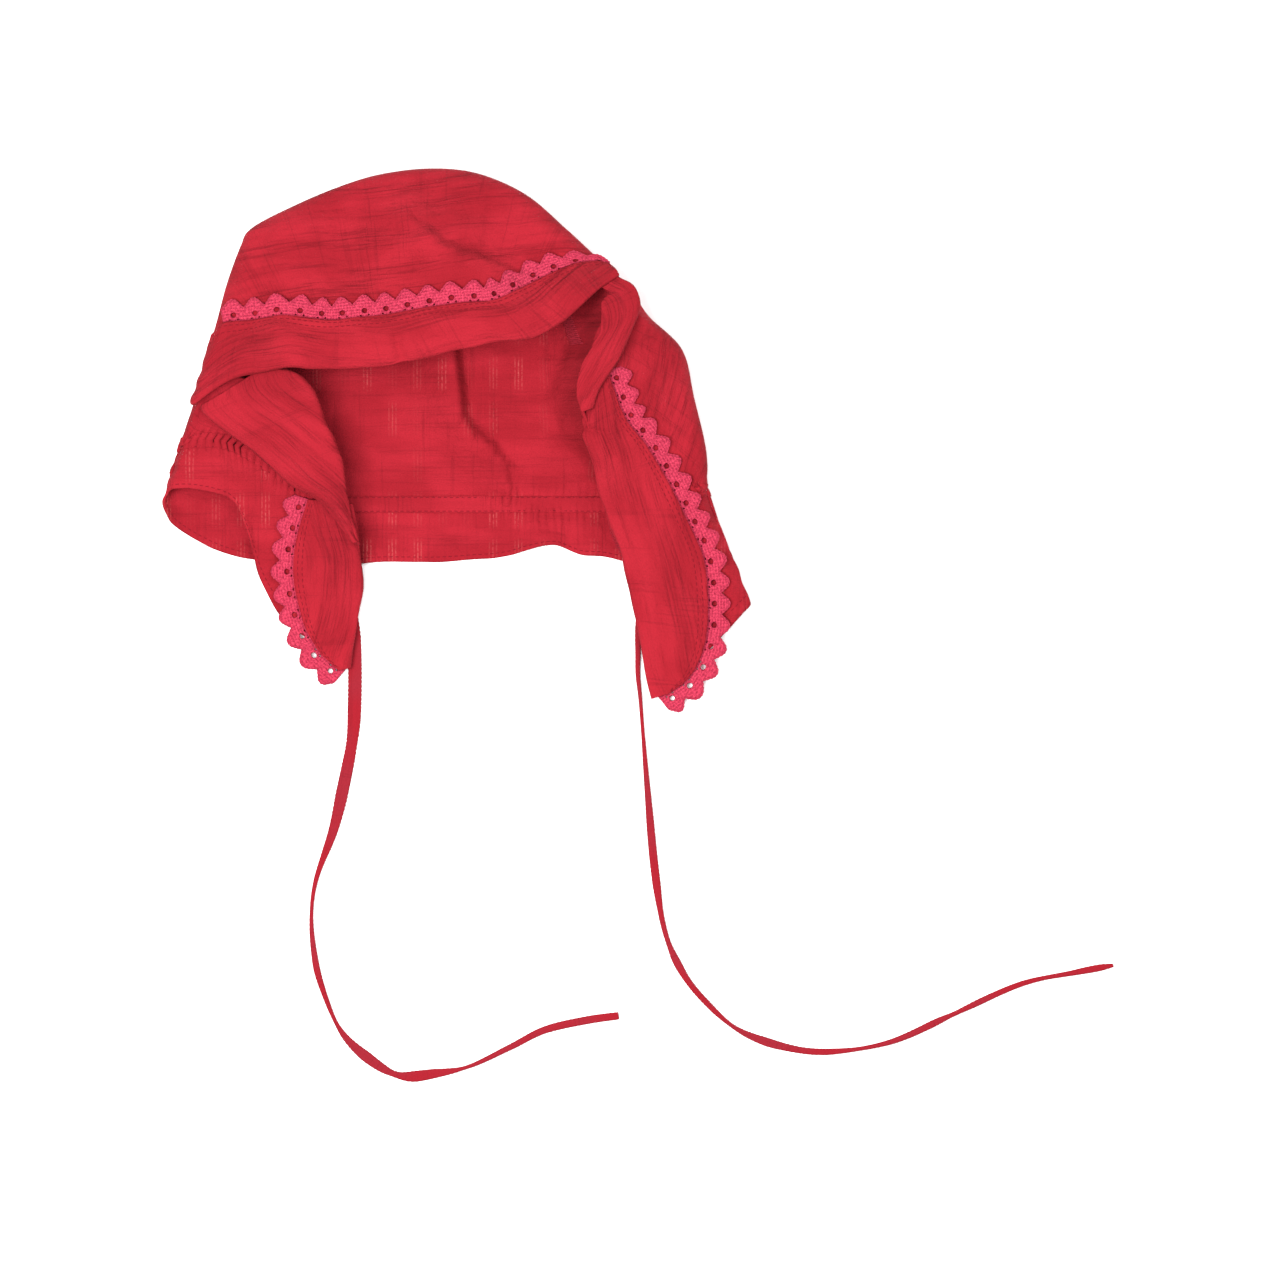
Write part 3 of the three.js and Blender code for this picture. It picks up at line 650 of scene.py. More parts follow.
# The side panel inside the right strip and flap, which rises from its foot on the back panel. Columns:
# top x y lift, foot x y.
innerPanelRows = [
    (65.5, 71, 4.2, 40, 66), (65, 57, 5.5, 36, 56), (63, 51, 5.5, 34, 48), (60, 45, 7, 32.5, 41),
    (58, 39, 7.5, 31, 35), (55, 31, 8, 30, 28), (53, 22, 8, 30, 20), (53, 14, 7, 31, 12), (55, 8, 4.5, 34, 5),
    (57, 2, 2.2, 40, -2), (60, -8, 1.6, 50, -11), (63.5, -20, 1.6, 58.5, -22), (67.5, -32, 1.6, 62, -33),
    (71, -43, 1.6, 64, -43), (72, -47, 1.6, 65, -46),
]
innerLook = {
    "rows": 150,
    "columns": 30,
    "foot": 0.5,
    "steepness": 3,
    "rippleMm": 14.0,
    "rippleDraw": 1.6,
    "rippleRise": 0.5,
}
# How strongly the elastic gathers the cloth at each row: most at the left side, little along the back
gatherShare = [
    1, 1, 1, 0.95, 0.85, 0.6, 0.4, 0.4, 0.5, 0.4, 0.3, 0.25, 0.24, 0.22, 0.2, 0.2, 0.22, 0.3, 0.6, 0.85, 0.9,
    0.8, 0.6, 0.5, 0.5, 0.5, 0.6, 0.8, 0.9, 1, 1, 1, 1,
]


# Places on the cloth at distances from the neck: flat on the back, round the fold, over the top
def clothPoints(rows, distance):
    rimX, rimY, foldX, foldY, foldLift, neckX, neckY = (column(rows, i) for i in range(7))
    backRun = span(rows, 2, 5)
    foldHeight = layerHeight(foldX, foldY, foldLift)
    backShare = np.clip(distance / np.maximum(backRun, 1e-6), 0, 1)
    backX = between(neckX, foldX, backShare)
    backY = between(neckY, foldY, backShare)
    flat = formLook["floorLift"] + foldRise(backFolds, backX, backY)
    backZ = between(flat, foldHeight, rollShare((backRun - distance) / formLook["edgeRoll"]))
    topShare = np.clip((distance - backRun) / span(rows, 2, 0), 0, 1.2)
    topX = between(foldX, rimX, topShare)
    topY = between(foldY, rimY, topShare)
    over = formHeight(topX, topY) + foldRise(crownFolds, topX, topY)
    topZ = between(over, foldHeight, rollShare((distance - backRun) / formLook["edgeRoll"]))
    back = np.stack([backX, backY, backZ], -1)
    top = np.stack([topX, topY, topZ], -1)
    return np.where((distance < backRun)[..., None], back, top)


# Places on the frill, as a share of the way from the neck to the hem
def frillPoints(rows, share):
    foldLift, neckX, neckY, hemX, hemY, hemLift = (column(rows, i) for i in range(4, 10))
    x = between(neckX, hemX, share)
    y = between(neckY, hemY, share)
    neckLift = foldLift * rollShare(span(rows, 2, 5) / formLook["edgeRoll"])
    return np.stack([x, y, layerHeight(x, y, between(neckLift, hemLift, share))], -1)


# Distance along the neck casing at each section
def neckRun(rows):
    return runLength(rows[:, 5:7])


# Puckers of the shirring: waves along the neck, with slower ones under them, that fade with the
# distance from it as a bell does
def gathers(rows, strength, distance, reach=1.0):
    look = clothLook
    run = neckRun(rows)[:, None]
    drift, driftMm = look["gatherDrift"]
    slant, outMm, alongMm = look["gatherSlant"]
    slowRise, slowPitch = look["slowGathers"]
    wave = np.sin(2 * np.pi * run / look["gatherMm"] + drift * np.sin(run / driftMm)
                  + slant * np.sin(distance / outMm + run / alongMm))
    slow = slowRise * np.sin(2 * np.pi * run / (look["gatherMm"] * slowPitch) + 1)
    fade = np.exp(-(distance / look["gatherReach"] / reach) ** 2)
    return look["gatherRise"] * strength[:, None] * (wave + slow) * fade


# The crown: sections from the neck over the fold to the rim, puckered at the neck and rippled where loose
def makeCrown(rows, strength):
    look = clothLook
    backRun = span(rows, 2, 5)
    topRun = span(rows, 2, 0)
    backShare = np.interp(np.linspace(0, 1, look["backColumns"], endpoint=False), *look["backSpacing"])
    topShare = np.interp(np.linspace(0, 1, look["topColumns"]), *look["topSpacing"])
    distance = np.concatenate([backRun * backShare, backRun + topRun * topShare], axis=1)
    fromRim = backRun + topRun - distance
    points = clothPoints(rows, distance)
    normals = gridNormals(points)
    x, y = points[..., 0], points[..., 1]
    foldMm, rimMm = look["looseMm"]
    loose = np.clip((distance - backRun) / foldMm, 0, 1) * np.clip(fromRim / rimMm, 0, 1)
    slow = ripples(x, y * look["rippleDraw"], look["rippleMm"][0], 3) * look["rippleRise"][0] * loose
    quick = look["rippleRise"][1] * ripples(x, y, look["rippleMm"][1], 4) * loose
    points = points + normals * (gathers(rows, strength, distance) + (slow + quick))[..., None]
    keepAboveFloor(points, formLook["clothThick"] / 2)
    faces = gridFaces(*distance.shape)
    # A face keeps one UV patch: the back's plane, or the top's distances along the fold and from the rim
    backFace = (distance < backRun).ravel()[faces[:, 0]]
    foldRun = runLength(rows[:, 2:4])[:, None] + 0 * distance
    planar = np.stack([x, y], -1).reshape(-1, 2)[faces]
    wrapped = np.stack([foldRun, fromRim], -1).reshape(-1, 2)[faces]
    corners = np.where(backFace[:, None, None], planar, wrapped)
    piece = addPiece("crownCloth", points.reshape(-1, 3), faces, clothMaterial, corners)
    piece.data.materials.append(backMaterial)
    piece.data.polygons.foreach_set("material_index", backFace.astype(np.int32))
    mergeDoubles(piece)
    thicken(piece, formLook["clothThick"])
    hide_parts("crown")


# The frill: puckered at the neck, with flutes that grow towards a hem turned double
def makeFrill(rows, strength):
    look = frillLook
    share = np.linspace(0, 1, look["columns"])[None, :] + 0 * rows[:, :1]
    run = span(rows, 7, 5)
    points = frillPoints(rows, share)
    distance = share * run
    normals = gridNormals(points)
    x, y = points[..., 0], points[..., 1]
    along = neckRun(rows)[:, None]
    drift = look["fluteDrift"][0] * np.sin(along / look["fluteDrift"][1])
    wave = np.sin(2 * np.pi * along / look["fluteMm"] + drift)
    flutes = look["fluteRise"] * wave * share ** look["fluteGrowth"]
    grown = np.clip(share * look["rippleGrowth"], 0, 1)
    soft = flutes + look["rippleRise"] * ripples(x, y, look["rippleMm"], 8) * grown
    puckers = gathers(rows, strength, distance, look["gatherReach"])
    points = points - normals * (puckers + soft)[..., None]
    keepAboveFloor(points, formLook["clothThick"] / 2)
    points[..., 2] += look["hemRise"] * np.clip((distance - run + look["hemMm"]) / look["hemEdge"], 0, 1)
    surfaces["neckFrillCloth"] = (points, normals, formLook["clothThick"])
    piece = gridSheet("neckFrillCloth", points, np.stack([x, y], -1), backMaterial, formLook["clothThick"],
                      flip=True)
    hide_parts("neck_frill")


# The side panel's lining side: a slope that leaves the back panel flat and steepens on the way up
def makeInnerPanel():
    look = innerLook
    topX, topY, topLift, footX, footY = (column(fineRows(innerPanelRows, look["rows"]), i) for i in range(5))
    share = np.linspace(0, 1, look["columns"])[None, :]
    x = between(footX, topX, share)
    y = between(footY, topY, share)
    z = between(look["foot"], formHeight(topX, topY) + topLift, share ** look["steepness"])
    points = np.stack([x, y, z], -1)
    rippled = ripples(x * look["rippleDraw"], y, look["rippleMm"], 41)
    soft = look["rippleRise"] * rippled * np.sin(np.pi * share)
    points = points + gridNormals(points) * soft[..., None]
    surfaces["innerPanelCloth"] = (points, gridNormals(points), formLook["clothThick"])
    piece = gridSheet("innerPanelCloth", points, np.stack([x, y], -1), backMaterial, formLook["clothThick"])


# The elastic's channel: a band 7 mm wide and thicker than the cloth, bulging as a half circle does
def makeCasing(rows, strength):
    look = casingLook
    offsets = np.linspace(-look["half"], look["half"], look["columns"])[None, :] + 0 * rows[:, :1]
    crown = clothPoints(rows, np.maximum(offsets, 0))
    frill = frillPoints(rows, np.maximum(-offsets, 0) / span(rows, 7, 5))
    points = np.where((offsets >= 0)[..., None], crown, frill)
    normals = gridNormals(points)
    bulge = look["bulge"] * np.sqrt(np.clip(1 - (offsets / look["half"]) ** 2, 0, 1))
    points = points + normals * (gathers(rows, strength, np.abs(offsets)) + bulge)[..., None]
    keepAboveFloor(points, look["lowest"])
    uv = np.stack([neckRun(rows)[:, None] + 0 * offsets, offsets], -1)
    surfaces["neckCasingCloth"] = (points, normals, look["thick"])
    piece = gridSheet("neckCasingCloth", points, uv, casingMaterial, look["thick"])
    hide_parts("neck_casing")


sectionPlaces = np.linspace(0, len(clothRows) - 1, clothLook["sections"])
clothSections = smoothRows(clothRows, sectionPlaces)
gatherStrength = np.interp(sectionPlaces, np.arange(len(gatherShare)), gatherShare)
makeCrown(clothSections, gatherStrength)
makeFrill(clothSections, gatherStrength)
makeCasing(clothSections, gatherStrength)
makeInnerPanel()
print("crown, frill and casing made")


# Brim: strips of cloth turned back over the crown. Columns: edge x y lift turn leg, back x y lift turn leg.
topBandRows = [
    (-109.5, 16, 2, 2, 1.2, -101, 44, 2, 0, 0), (-108, 16, 7, 2, 1.2, -99, 46, 3.4, 0, 0),
    (-101, 21, 9, 2.4, 1.4, -96, 49, 4.3, 0, 0), (-90, 27, 10, 2.6, 1.6, -86, 50, 4.3, 0, 0),
    (-77, 29, 10, 2.8, 1.8, -78, 51, 4.3, 0, 0), (-65, 31, 9, 3.2, 2, -70, 52, 4.3, 0, 0),
    (-54, 30, 6, 3.8, 3, -53, 50, 4.3, 0, 0), (-38, 31, 4, 3.8, 4.5, -41, 51, 4.3, 0, 0),
    (-22, 32, 4, 4, 5, -29, 52, 4.3, 0, 0), (-1, 38, 4, 4, 5, -12, 55, 4.3, 0, 0),
    (11, 40, 4, 4, 5, 2, 57, 4.3, 0, 0), (30, 43, 4, 4, 4.5, 16, 58, 4.3, 0, 0),
    (44, 49, 5, 3.6, 3.5, 27, 63, 4.3, 0, 0), (51, 55, 7.5, 3.2, 2, 37, 68, 4.3, 0, 0),
    (58, 62, 9.2, 2.6, 1.6, 49, 73, 4.3, 0, 0), (63, 65.5, 9, 2.4, 1.4, 57.5, 74.3, 4.3, 0, 0),
    (66, 67.6, 8, 2.2, 1.3, 63, 73.6, 4.2, 0, 0), (67.8, 69, 6.6, 1.8, 1.1, 66, 71.6, 4, 0, 0),
]
leftStripRows = [
    (-43, -41, 8, 2, 1.2, -40, -43, 8, 2, 1.2), (-56, -25, 8.6, 2.6, 1.6, -44, -26, 8.4, 2.4, 1.4),
    (-68, -18, 8.6, 2.6, 1.6, -47, -9, 8, 5, 3), (-78, -9, 8, 2.6, 1.6, -51, 2, 8, 7, 4),
    (-87, -1, 7, 2.6, 1.6, -55, 12, 7, 6, 4), (-97, 6, 6, 2.6, 1.6, -59, 22, 6, 5, 3.5),
    (-104, 12, 4.6, 2.4, 1.4, -66, 28, 4.8, 3.4, 2), (-105, 15, 3.6, 2, 1.2, -78, 31, 4, 2.4, 1.4),
]
rightStripRows = [
    (61, 71, 4.2, 2, 1.2, 54, 66, 4.2, 0, 0),
    (69, 67, 5.5, 2, 1.2, 64, 62, 5.5, 0, 0), (74, 64, 6.4, 2.2, 1.3, 61, 57, 6.4, 0, 0),
    (76.5, 58, 7, 2.4, 1.4, 61, 51, 7, 0, 0), (76, 53, 7.6, 2.6, 1.6, 60, 45, 7.6, 0, 0),
    (74, 48, 8, 2.6, 1.6, 58, 41, 8, 0, 0), (71, 41, 8.4, 2.6, 1.6, 56, 37, 8.4, 0, 0),
    (68, 34, 8.6, 2.6, 1.6, 53, 32, 8.6, 0, 0), (64, 28, 8.6, 2.6, 1.6, 51, 25, 8.4, 0, 0),
    (60, 22, 8.4, 2.4, 1.5, 51, 18, 7.6, 0, 0), (57, 13.5, 7.4, 2, 1.3, 53, 12, 6, 0, 0),
]
leftFlapRows = [
    (-43, -26, 3, 2.6, 2, -61, -24, 3.6, 0, 0), (-41, -37, 3.4, 3, 3, -65, -37, 4.3, 0, 0),
    (-39, -48, 3.4, 3, 4, -67, -48, 4.3, 0, 0), (-39, -58, 3.4, 3, 4, -67, -58, 4.3, 0, 0),
    (-40, -68, 3.4, 3, 4, -65, -68, 4.3, 0, 0), (-41, -78, 3.3, 2.6, 3, -62, -78, 4.3, 0, 0),
    (-43, -87, 3, 2, 2, -56, -88, 3.3, 0, 0), (-44, -94, 2.6, 1.6, 1.2, -48, -95, 2.9, 0, 0),
]
rightFlapRows = [
    (55, 19, 2.0, 2.6, 1.6, 63, 31, 3.0, 0, 0),
    (54, 11, 3.4, 3, 2, 65, 24, 4.3, 0, 0), (53, 2, 3.4, 3, 2.5, 71, 9, 4.3, 0, 0),
    (57, -8, 3.4, 3, 3, 79, -1, 4.3, 0, 0), (60, -20, 3.4, 3, 3, 88, -16, 4.3, 0, 0),
    (64, -32, 3.4, 3, 3, 96, -32, 4.3, 0, 0), (69, -47, 3.4, 3, 3, 103, -48, 4.3, 0, 0),
    (73, -62, 3.4, 3, 3, 105, -65, 4.3, 0, 0), (77, -80, 3.4, 3, 3, 104, -83, 4.3, 0, 0),
    (79, -94, 3.2, 2.4, 2.4, 98, -97, 3.4, 0, 0), (82, -107, 2.6, 1.6, 1.2, 88, -105, 2.9, 0, 0),
]
brimLook = {
    "thick": 1.1,
    "stepMm": 0.8,
    "arcSteps": 9,
    "upperSteps": 30,
    "legSteps": 4,
    "puffPower": 0.8,
    "heldMm": (4.0, 3.0),       # how far from its two edges a strip is held smooth
    "creaseMm": 6.0,
    "creaseRise": 0.4,
    "creaseDraw": 0.22,
    "slowMm": 22.0,
    "slowRise": 0.35,
    "slowDraw": 0.7,
    "lowest": 0.7,
}


# A turned edge seen from its end: along the leg, then half a circle up to the upper layer
def turnedEdge(lift, turn, leg):
    radius = turn / 2
    steps = np.linspace(0, 1, brimLook["legSteps"], endpoint=False)[None, :]
    legIn = leg + (radius - leg) * steps
    legLift = lift - turn + 0 * steps
    angles = np.linspace(-np.pi / 2, np.pi / 2, brimLook["arcSteps"])[None, :]
    arcIn = radius * (1 - np.cos(angles))
    arcLift = lift - radius + radius * np.sin(angles)
    return np.concatenate([legIn, arcIn], axis=1), np.concatenate([legLift, arcLift], axis=1)


# Places on a strip of the brim, from the cloth under its turned edge to its other edge, with a puff
# in the middle that is half a sine wave to a power
def brimPoints(rows, puff):
    edgeX, edgeY, edgeLift, edgeTurn, edgeLeg, backX, backY, backLift, backTurn, backLeg = (
        column(rows, i) for i in range(10))
    width = span(rows, 0, 5)
    inward, lift = turnedEdge(edgeLift, edgeTurn, edgeLeg)
    turned = np.max(backTurn) > 0
    last = width - (backTurn / 2 if turned else 0)
    share = np.linspace(0, 1, brimLook["upperSteps"])[None, 1:(-1 if turned else None)]
    upperLift = between(edgeLift, backLift, share) + puff * np.sin(np.pi * share) ** brimLook["puffPower"]
    inward = np.concatenate([inward, between(edgeTurn / 2, last, share)], axis=1)
    lift = np.concatenate([lift, upperLift], axis=1)
    if turned:
        otherIn, otherLift = turnedEdge(backLift, backTurn, backLeg)
        inward = np.concatenate([inward, (width - otherIn)[:, ::-1]], axis=1)
        lift = np.concatenate([lift, otherLift[:, ::-1]], axis=1)
    x = edgeX + (backX - edgeX) * inward / width
    y = edgeY + (backY - edgeY) * inward / width
    return np.stack([x, y, formHeight(x, y) + lift], -1)


# One stretch of the brim, with creases that run along it, times a share, and with its own folds
def makeBrimPiece(name, node, rows, puff, seed, flip=False, folds=(), crease=1.0):
    look = brimLook
    rows = np.array(rows, float)
    fine = fineRows(rows, int(runLength(rows[:, 0:2])[-1] / look["stepMm"]))
    points = brimPoints(fine, puff)
    along = runLength((fine[:, 0:2] + fine[:, 5:7]) / 2)[:, None] + 0 * points[..., 0]
    steps = np.linalg.norm(np.diff(points, axis=1), axis=2)
    across = np.concatenate([0 * steps[:, :1], np.cumsum(steps, axis=1)], axis=1)
    normals = gridNormals(points) * (-1 if flip else 1)
    edgeMm, backMm = look["heldMm"]
    inner = np.clip(across / edgeMm, 0, 1) * np.clip((across[:, -1:] - across) / backMm, 0, 1)
    quick = ripples(along * look["creaseDraw"], across, look["creaseMm"], seed)
    slow = ripples(along, across * look["slowDraw"], look["slowMm"], seed + 1)
    rise = crease * look["creaseRise"] * quick * inner + crease * look["slowRise"] * slow * inner
    points = points + normals * (rise + foldRise(folds, points[..., 0], points[..., 1]) * inner)[..., None]
    keepAboveFloor(points, look["lowest"])
    surfaces[name] = (points, normals, look["thick"])
    piece = gridSheet(name, points, np.stack([along, across], -1), brimMaterial, look["thick"], flip)
    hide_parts(node)


bandFolds = [(-24, 43, -22, 35, -2.2, 2.5, 2.5)]
flapFolds = [(50, 6, 62, 3.5, -1.5, 1.8, 1.8), (62, 3.5, 66, -6, -1.3, 1.6, 1.6)]
makeBrimPiece("topBandCloth", "top_band", topBandRows, 1.2, 11, folds=bandFolds)
makeBrimPiece("leftStripCloth", "left_strip", leftStripRows, 1.6, 13)
makeBrimPiece("rightStripCloth", "right_strip", rightStripRows, 1.0, 15, flip=True, crease=0.4)
makeBrimPiece("leftEarFlapCloth", "left_ear_flap", leftFlapRows, 0.5, 17, flip=True)
makeBrimPiece("rightEarFlapCloth", "right_ear_flap", rightFlapRows, 0.6, 19, folds=flapFolds)
print("brim made")


# Crochet edging: scallops worked along the brim's seam
laceLook = {
    "seamSteps": 600,
    "beyondMm": 10,
    "tuckMm": 2.0,
    "belowMm": 2.0,
    "turnReach": 3.0,
    "leanRun": 26.0,
    "thick": 0.9,
    "valley": 5.4,
    "tip": 9.7,
    "picot": 0.3,
    "grow": (-0.05, 0.06),
    "growFrom": 6.0,
    "holeOut": 2.8,
    "holeWide": 1.2,
    "holeHigh": 1.1,
    "outlineSteps": 61,
    "rings": 9,
    "angles": 72,
    "ribs": 14,
    "ribRise": 0.08,
    "ringWaves": 6,
    "ringRise": 0.1,
    "pinRing": 2,
    "pinDegrees": (229, 311),
    "pinHalf": 11,
}
borderLook = {"steps": 30, "inMm": 0.3, "upMm": 0.15, "radius": 0.5, "knob": 0.22, "knobMm": 1.5, "sides": 8}


# How far out the scallop's edge is: from the valley up to the tip and back, by one less a power of the
# distance from its middle, so that a power near 1 makes it pointed, less three small picots
def scallopEdge(share, point):
    look = laceLook
    wave = 1 - np.abs(2 * share - 1) ** point
    return between(look["valley"], look["tip"], wave) - look["picot"] * np.sin(3 * np.pi * share) ** 2 * wave


# Place, lift and outward direction at distances along the brim's back edge, and the seam's length
def seamPlaces(rows, distances, trim):
    fine = fineRows(rows, laceLook["seamSteps"])
    past = laceLook["beyondMm"]
    run = runLength(fine[:, 5:7])
    start, end = trim[0], run[-1] - trim[1]
    beyond = np.append(run, run[-1] + past)
    ahead = np.vstack([fine, fine[-1] + (fine[-1] - fine[-2]) / (run[-1] - run[-2]) * past])

    def at(distance):
        return [np.interp(distance, beyond, ahead[:, i]) for i in (5, 6, 7)]

    x, y, lift = at(distances + start)
    fromX, fromY = at(np.maximum(distances + start - laceLook["turnReach"], start))[:2]
    toX, toY = at(np.minimum(distances + start + laceLook["turnReach"], end))[:2]
    size = np.hypot(toX - fromX, toY - fromY)
    return x, y, lift, (fromY - toY) / size, (toX - fromX) / size, end - start


# Carries a flat pattern to the seam: along it, and out from it over the form and folds below, drawn in
# towards the seam's end by the trim's last share
def onSeam(rows, along, out, side, trim, rise=0.0):
    x, y, lift, outX, outY, total = seamPlaces(rows, along, trim)
    out = out * (1 - trim[2] * np.clip(1 - (total - along) / laceLook["leanRun"], 0, 1))
    x = x + outX * out * side
    y = y + outY * out * side
    ground = formHeight(x, y) + foldRise(crownFolds, x, y)
    return np.stack([x, y, ground + lift - laceLook["belowMm"] + rise], -1)


# Flat cross product
def cross(first, second):
    return first[..., 0] * second[..., 1] - first[..., 1] * second[..., 0]


# Distance from a scallop's hole to its outline in each direction: the nearest crossed side
def outlineReach(angles, pitch, point):
    look = laceLook
    share = np.linspace(0, 1, look["outlineSteps"])
    top = np.stack([(share - 0.5) * pitch, scallopEdge(share, point) - look["holeOut"]], -1)
    foot = -look["tuckMm"] - look["holeOut"]
    outline = np.vstack([[[-pitch / 2, foot], [pitch / 2, foot]], top[::-1]])[None]
    ray = np.stack([np.cos(angles), np.sin(angles)], -1)[:, None, :]
    side = np.roll(outline, -1, axis=1) - outline
    meeting = cross(ray, side)
    meeting = np.where(np.abs(meeting) < 1e-9, 1e-9, meeting)
    reach = cross(outline, side) / meeting
    along = cross(outline, ray) / meeting
    return np.where((along >= -1e-6) & (along <= 1 + 1e-6) & (reach > 0), reach, np.inf).min(axis=1)


# Each scallop is rings of crochet from its oval hole out to its outline, with two pinholes
def makeLace(name, node, rows, side, count, trim, seed, point):
    look = laceLook
    pitch = seamPlaces(rows, np.array([0.0]), trim)[5] / count
    angles = np.linspace(0, 2 * np.pi, look["angles"], endpoint=False) + np.pi / look["angles"]
    outer = outlineReach(angles, pitch, point)
    hole = 1 / np.sqrt((np.cos(angles) / look["holeWide"]) ** 2 + (np.sin(angles) / look["holeHigh"]) ** 2)
    share = np.linspace(0, 1, look["rings"] + 1)[:, None]
    reach = between(hole, outer, share)
    patternX = reach * np.cos(angles) + pitch / 2
    patternY = reach * np.sin(angles) + look["holeOut"]
    ribs = look["ribRise"] * np.cos(look["ribs"] * angles)[None, :] * np.sin(np.pi * share)
    ribs = ribs + look["ringRise"] * np.cos(share * np.pi * look["ringWaves"])
    index = np.arange(patternX.size).reshape(patternX.shape)
    ahead = np.roll(index, -1, axis=1)
    faces = np.stack([index[:-1], index[1:], ahead[1:], ahead[:-1]], -1)
    degrees = np.degrees(angles)
    pin = np.any([np.abs(degrees - middle) < look["pinHalf"] for middle in look["pinDegrees"]], axis=0)
    solid = np.ones(faces.shape[:2], bool)
    solid[look["pinRing"]] = ~pin
    faces = faces[solid]
    local = np.random.default_rng(seed)
    vertices, allFaces, flat = [], [], []
    for scallop in range(count):
        grow = 1 + local.uniform(*look["grow"])
        out = np.where(patternY > look["growFrom"], look["growFrom"] + (patternY - look["growFrom"]) * grow,
                       patternY)
        along = scallop * pitch + patternX
        vertices.append(onSeam(rows, along, out, side, trim, ribs).reshape(-1, 3))
        allFaces.append(faces + scallop * patternX.size)
        flat.append(np.stack([along, patternY], -1).reshape(-1, 2))
    allFaces = np.concatenate(allFaces)
    if side < 0:
        allFaces = allFaces[:, ::-1]
    piece = addPiece(name, np.concatenate(vertices), allFaces, crochetCotton, np.concatenate(flat)[allFaces])
    mergeDoubles(piece)
    thicken(piece, look["thick"])
    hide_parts(node)
    return [piece, laceBorder(name + "Border", rows, side, trim, count, pitch, point)]


# A round tube: a ring across the path at each of its points, closed at both ends
def makeTube(name, path, radius, sides, material):
    across, above = pathSides(path)
    angles = np.linspace(0, 2 * np.pi, sides, endpoint=False)[None, :, None]
    ring = np.cos(angles) * across[:, None] + np.sin(angles) * above[:, None]
    points = path[:, None] + ring * np.broadcast_to(radius, len(path))[:, None, None]
    run = runLength(path)[:, None, None] + 0 * angles
    uv = np.concatenate([run, angles + 0 * run], -1).reshape(-1, 2)
    faces = tubeFaces(len(path), sides)
    return addPiece(name, points.reshape(-1, 3), faces, material, uv[faces])


# The chain round the scallops' edge: a yarn along their outline, thick and thin as a sine wave
def laceBorder(name, rows, side, trim, count, pitch, point):
    look = borderLook
    share = np.linspace(0, 1, look["steps"], endpoint=False)
    out = scallopEdge(share, point) - look["inMm"]
    along = (np.arange(count)[:, None] * pitch + share[None, :] * pitch).ravel()
    path = onSeam(rows, along, np.tile(out, count), side, trim, look["upMm"])
    radius = look["radius"] * (1 + look["knob"] * np.sin(runLength(path) * 2 * np.pi / look["knobMm"]))
    border = makeTube(name, path, radius, look["sides"], crochetCotton)
    return border


# For each: its side of the brim, its scallops, what is trimmed from the seam's start and end and how far
# it draws in, its seed and its power
laces = {
    "topBandCloth": makeLace("topCrochet", "top_lace", topBandRows, 1, 18, (7, 2.5, 0.85), 21, 1.2),
    "leftEarFlapCloth": makeLace("leftCrochet", "left_lace", leftFlapRows, -1, 9, (0, -1.5, 0), 22, 1.5),
    "rightEarFlapCloth": makeLace("rightCrochet", "right_lace", rightFlapRows, 1, 18, (1.5, -3.4, 0), 23,
                                  1.4),
}
print("crochet made")


# Topstitching: which columns of a cloth's grid its rows of stitches run along
stitchLook = {"pitchMm": 2.5, "lengthMm": 1.4, "widthMm": 0.3, "standMm": 0.07}
stitchRows = {
    "topBandCloth": (-3, -6),
    "leftEarFlapCloth": (-3, -5),
    "rightEarFlapCloth": (-3, -5),
    "neckCasingCloth": (1, -2),
    "neckFrillCloth": (-3,),
}


# Short bars at an even pitch along a path, which stand out of the cloth on both faces
def stitchBoxes(path, normals, halfHigh):
    look = stitchLook
    run = runLength(path)
    middles = np.arange(look["pitchMm"], run[-1] - look["pitchMm"], look["pitchMm"])
    half = look["lengthMm"] / 2
    start = placesAt(path, run, middles - half)
    end = placesAt(path, run, middles + half)
    up = placesAt(normals, run, middles)
    side = np.cross(up, unit(end - start)) * look["widthMm"] / 2
    rise = up * halfHigh
    around = ((-1, start), (1, start), (1, end), (-1, end))
    corners = [base + a * side + b * rise for b in (-1, 1) for a, base in around]
    vertices = np.stack(corners, axis=1)
    box = np.array([(0, 1, 2, 3), (7, 6, 5, 4), (0, 4, 5, 1), (1, 5, 6, 2), (2, 6, 7, 3), (3, 7, 4, 0)])
    faces = (np.arange(len(middles))[:, None, None] * 8 + box[None]).reshape(-1, 4)
    return vertices.reshape(-1, 3), faces


# One cloth's rows of stitches, joined
def makeStitches(cloth):
    points, normals, thick = surfaces[cloth]
    halfHigh = thick / 2 + stitchLook["standMm"]
    rows = [stitchBoxes(points[:, place], normals[:, place], halfHigh) for place in stitchRows[cloth]]
    starts = np.cumsum([0] + [len(corners) for corners, quads in rows])
    faces = [quads + start for (corners, quads), start in zip(rows, starts)]
    piece = addPiece(cloth.replace("Cloth", "Stitches"), np.concatenate([corners for corners, quads in rows]),
                     np.concatenate(faces), seamThread, smooth=False)
    return [piece]


# Overlocked seam ends that show inside: from and to as shares of the inner panel's length and width
overlockLook = {
    "loopMm": 1.3,
    "loopSteps": 6,
    "reach": 0.15,
    "radiusMm": 0.22,
    "sides": 6,
    "evenOver": 5,
    "panelMm": 128.0,
}
overlockRuns = [(0.11, 0.4, 0.26, 0.72), (0.86, 0.42, 0.985, 0.5)]


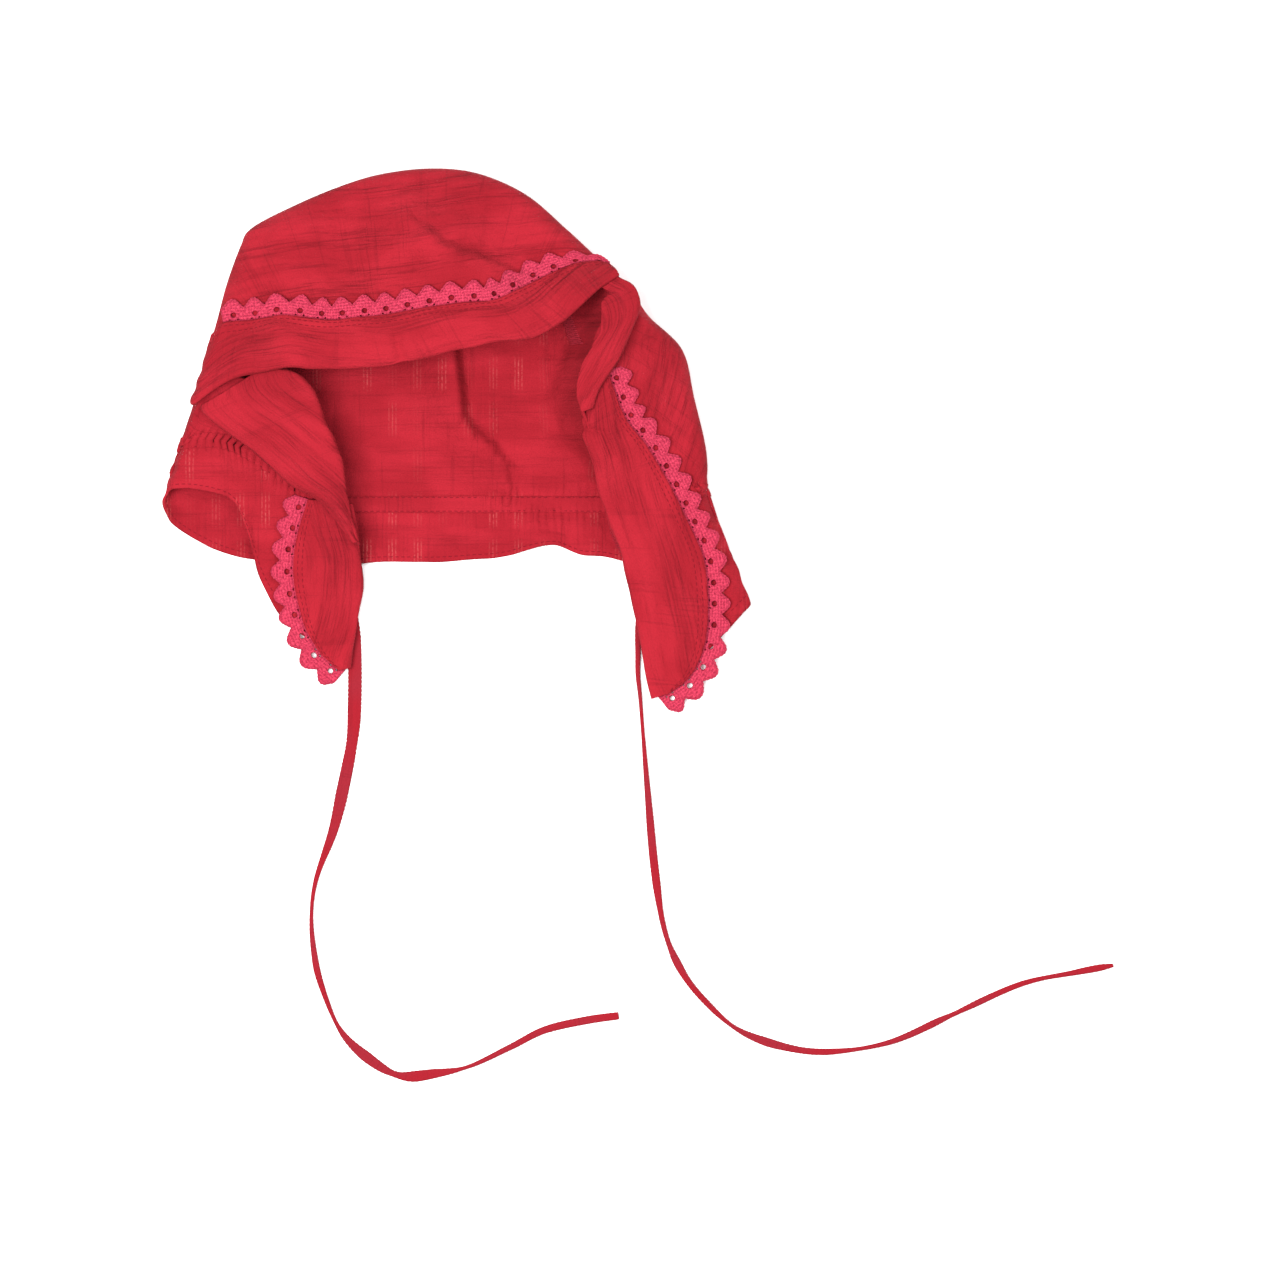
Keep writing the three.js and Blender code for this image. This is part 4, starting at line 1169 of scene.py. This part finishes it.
# A zigzag of thread over the seam's raw edge: a triangle wave across a line on the inner panel
def makeOverlock():
    look = overlockLook
    points, normals, thick = surfaces["innerPanelCloth"]
    lastRow, lastColumn = points.shape[0] - 1, points.shape[1] - 1
    pieces = []
    for number, (fromRow, fromSide, toRow, toSide) in enumerate(overlockRuns):
        turns = int(abs(toRow - fromRow) * look["panelMm"] / look["loopMm"] * 2)
        share = np.linspace(0, 1, turns * look["loopSteps"])
        swing = look["reach"] * np.arcsin(np.sin(share * turns * np.pi)) / (np.pi / 2)
        row = np.clip(between(fromRow, toRow, share) * lastRow, 0, lastRow)
        side = np.clip((between(fromSide, toSide, share) + swing) * lastColumn, 0, lastColumn)
        place = row.round().astype(int), side.round().astype(int)
        path = points[place] + normals[place] * (thick / 2 + look["radiusMm"] / 2)
        path = np.stack([evenOut(places, look["evenOver"]) for places in path.T], -1)
        name = "overlockedSeam" + str(number)
        piece = makeTube(name, path, look["radiusMm"], look["sides"], overlockThread)
        pieces.append(piece)
    return pieces


trims = {cloth: laces.get(cloth, []) + makeStitches(cloth) for cloth in stitchRows}
trims["innerPanelCloth"] = makeOverlock()
print("stitching made")
# Floor and light

floorLook = {"half": 4.0, "colour": (0.93, 0.93, 0.93, 1), "roughness": 0.95}
lightAim = (0.0, -0.05, 0.0)


# A square of matt white paper
def makeFloor():
    half = floorLook["half"]
    mesh = bpy.data.meshes.new("floor")
    corners = [(-half, -half, 0), (half, -half, 0), (half, half, 0), (-half, half, 0)]
    mesh.from_pydata(corners, [], [(0, 1, 2, 3)])
    material, add = newMaterial("matt white paper")
    shader = add("BsdfPrincipled", {"Base Color": floorLook["colour"], "Roughness": floorLook["roughness"]})
    add("OutputMaterial", {"Surface": shader})
    mesh.materials.append(material)
    floor = bpy.data.objects.new("floor", mesh)
    bpy.context.collection.objects.link(floor)


# A square soft light, turned to face the middle of the bonnet
def makeLight(name, place, size, power):
    data = bpy.data.lights.new(name, "AREA")
    data.size = size
    data.energy = power
    light = bpy.data.objects.new(name, data)
    light.location = place
    towards = Vector(np.array(lightAim) - np.array(place))
    light.rotation_euler = towards.to_track_quat("-Z", "Y").to_euler()
    bpy.context.collection.objects.link(light)


# White light from all round, at one strength
def makeWorld(strength):
    world = bpy.data.worlds.new("studio")
    world.use_nodes = True
    background = world.node_tree.nodes["Background"]
    background.inputs[0].default_value = (1, 1, 1, 1)
    background.inputs[1].default_value = strength
    bpy.context.scene.world = world


makeFloor()
makeWorld(0.7)
makeLight("keyLight", (-0.48, -0.16, 1.8), 0.8, 58)
makeLight("fillLight", (0.7, 0.3, 1.8), 1.2, 27)
bpy.context.scene.view_settings.view_transform = "Standard"
print("stage made")
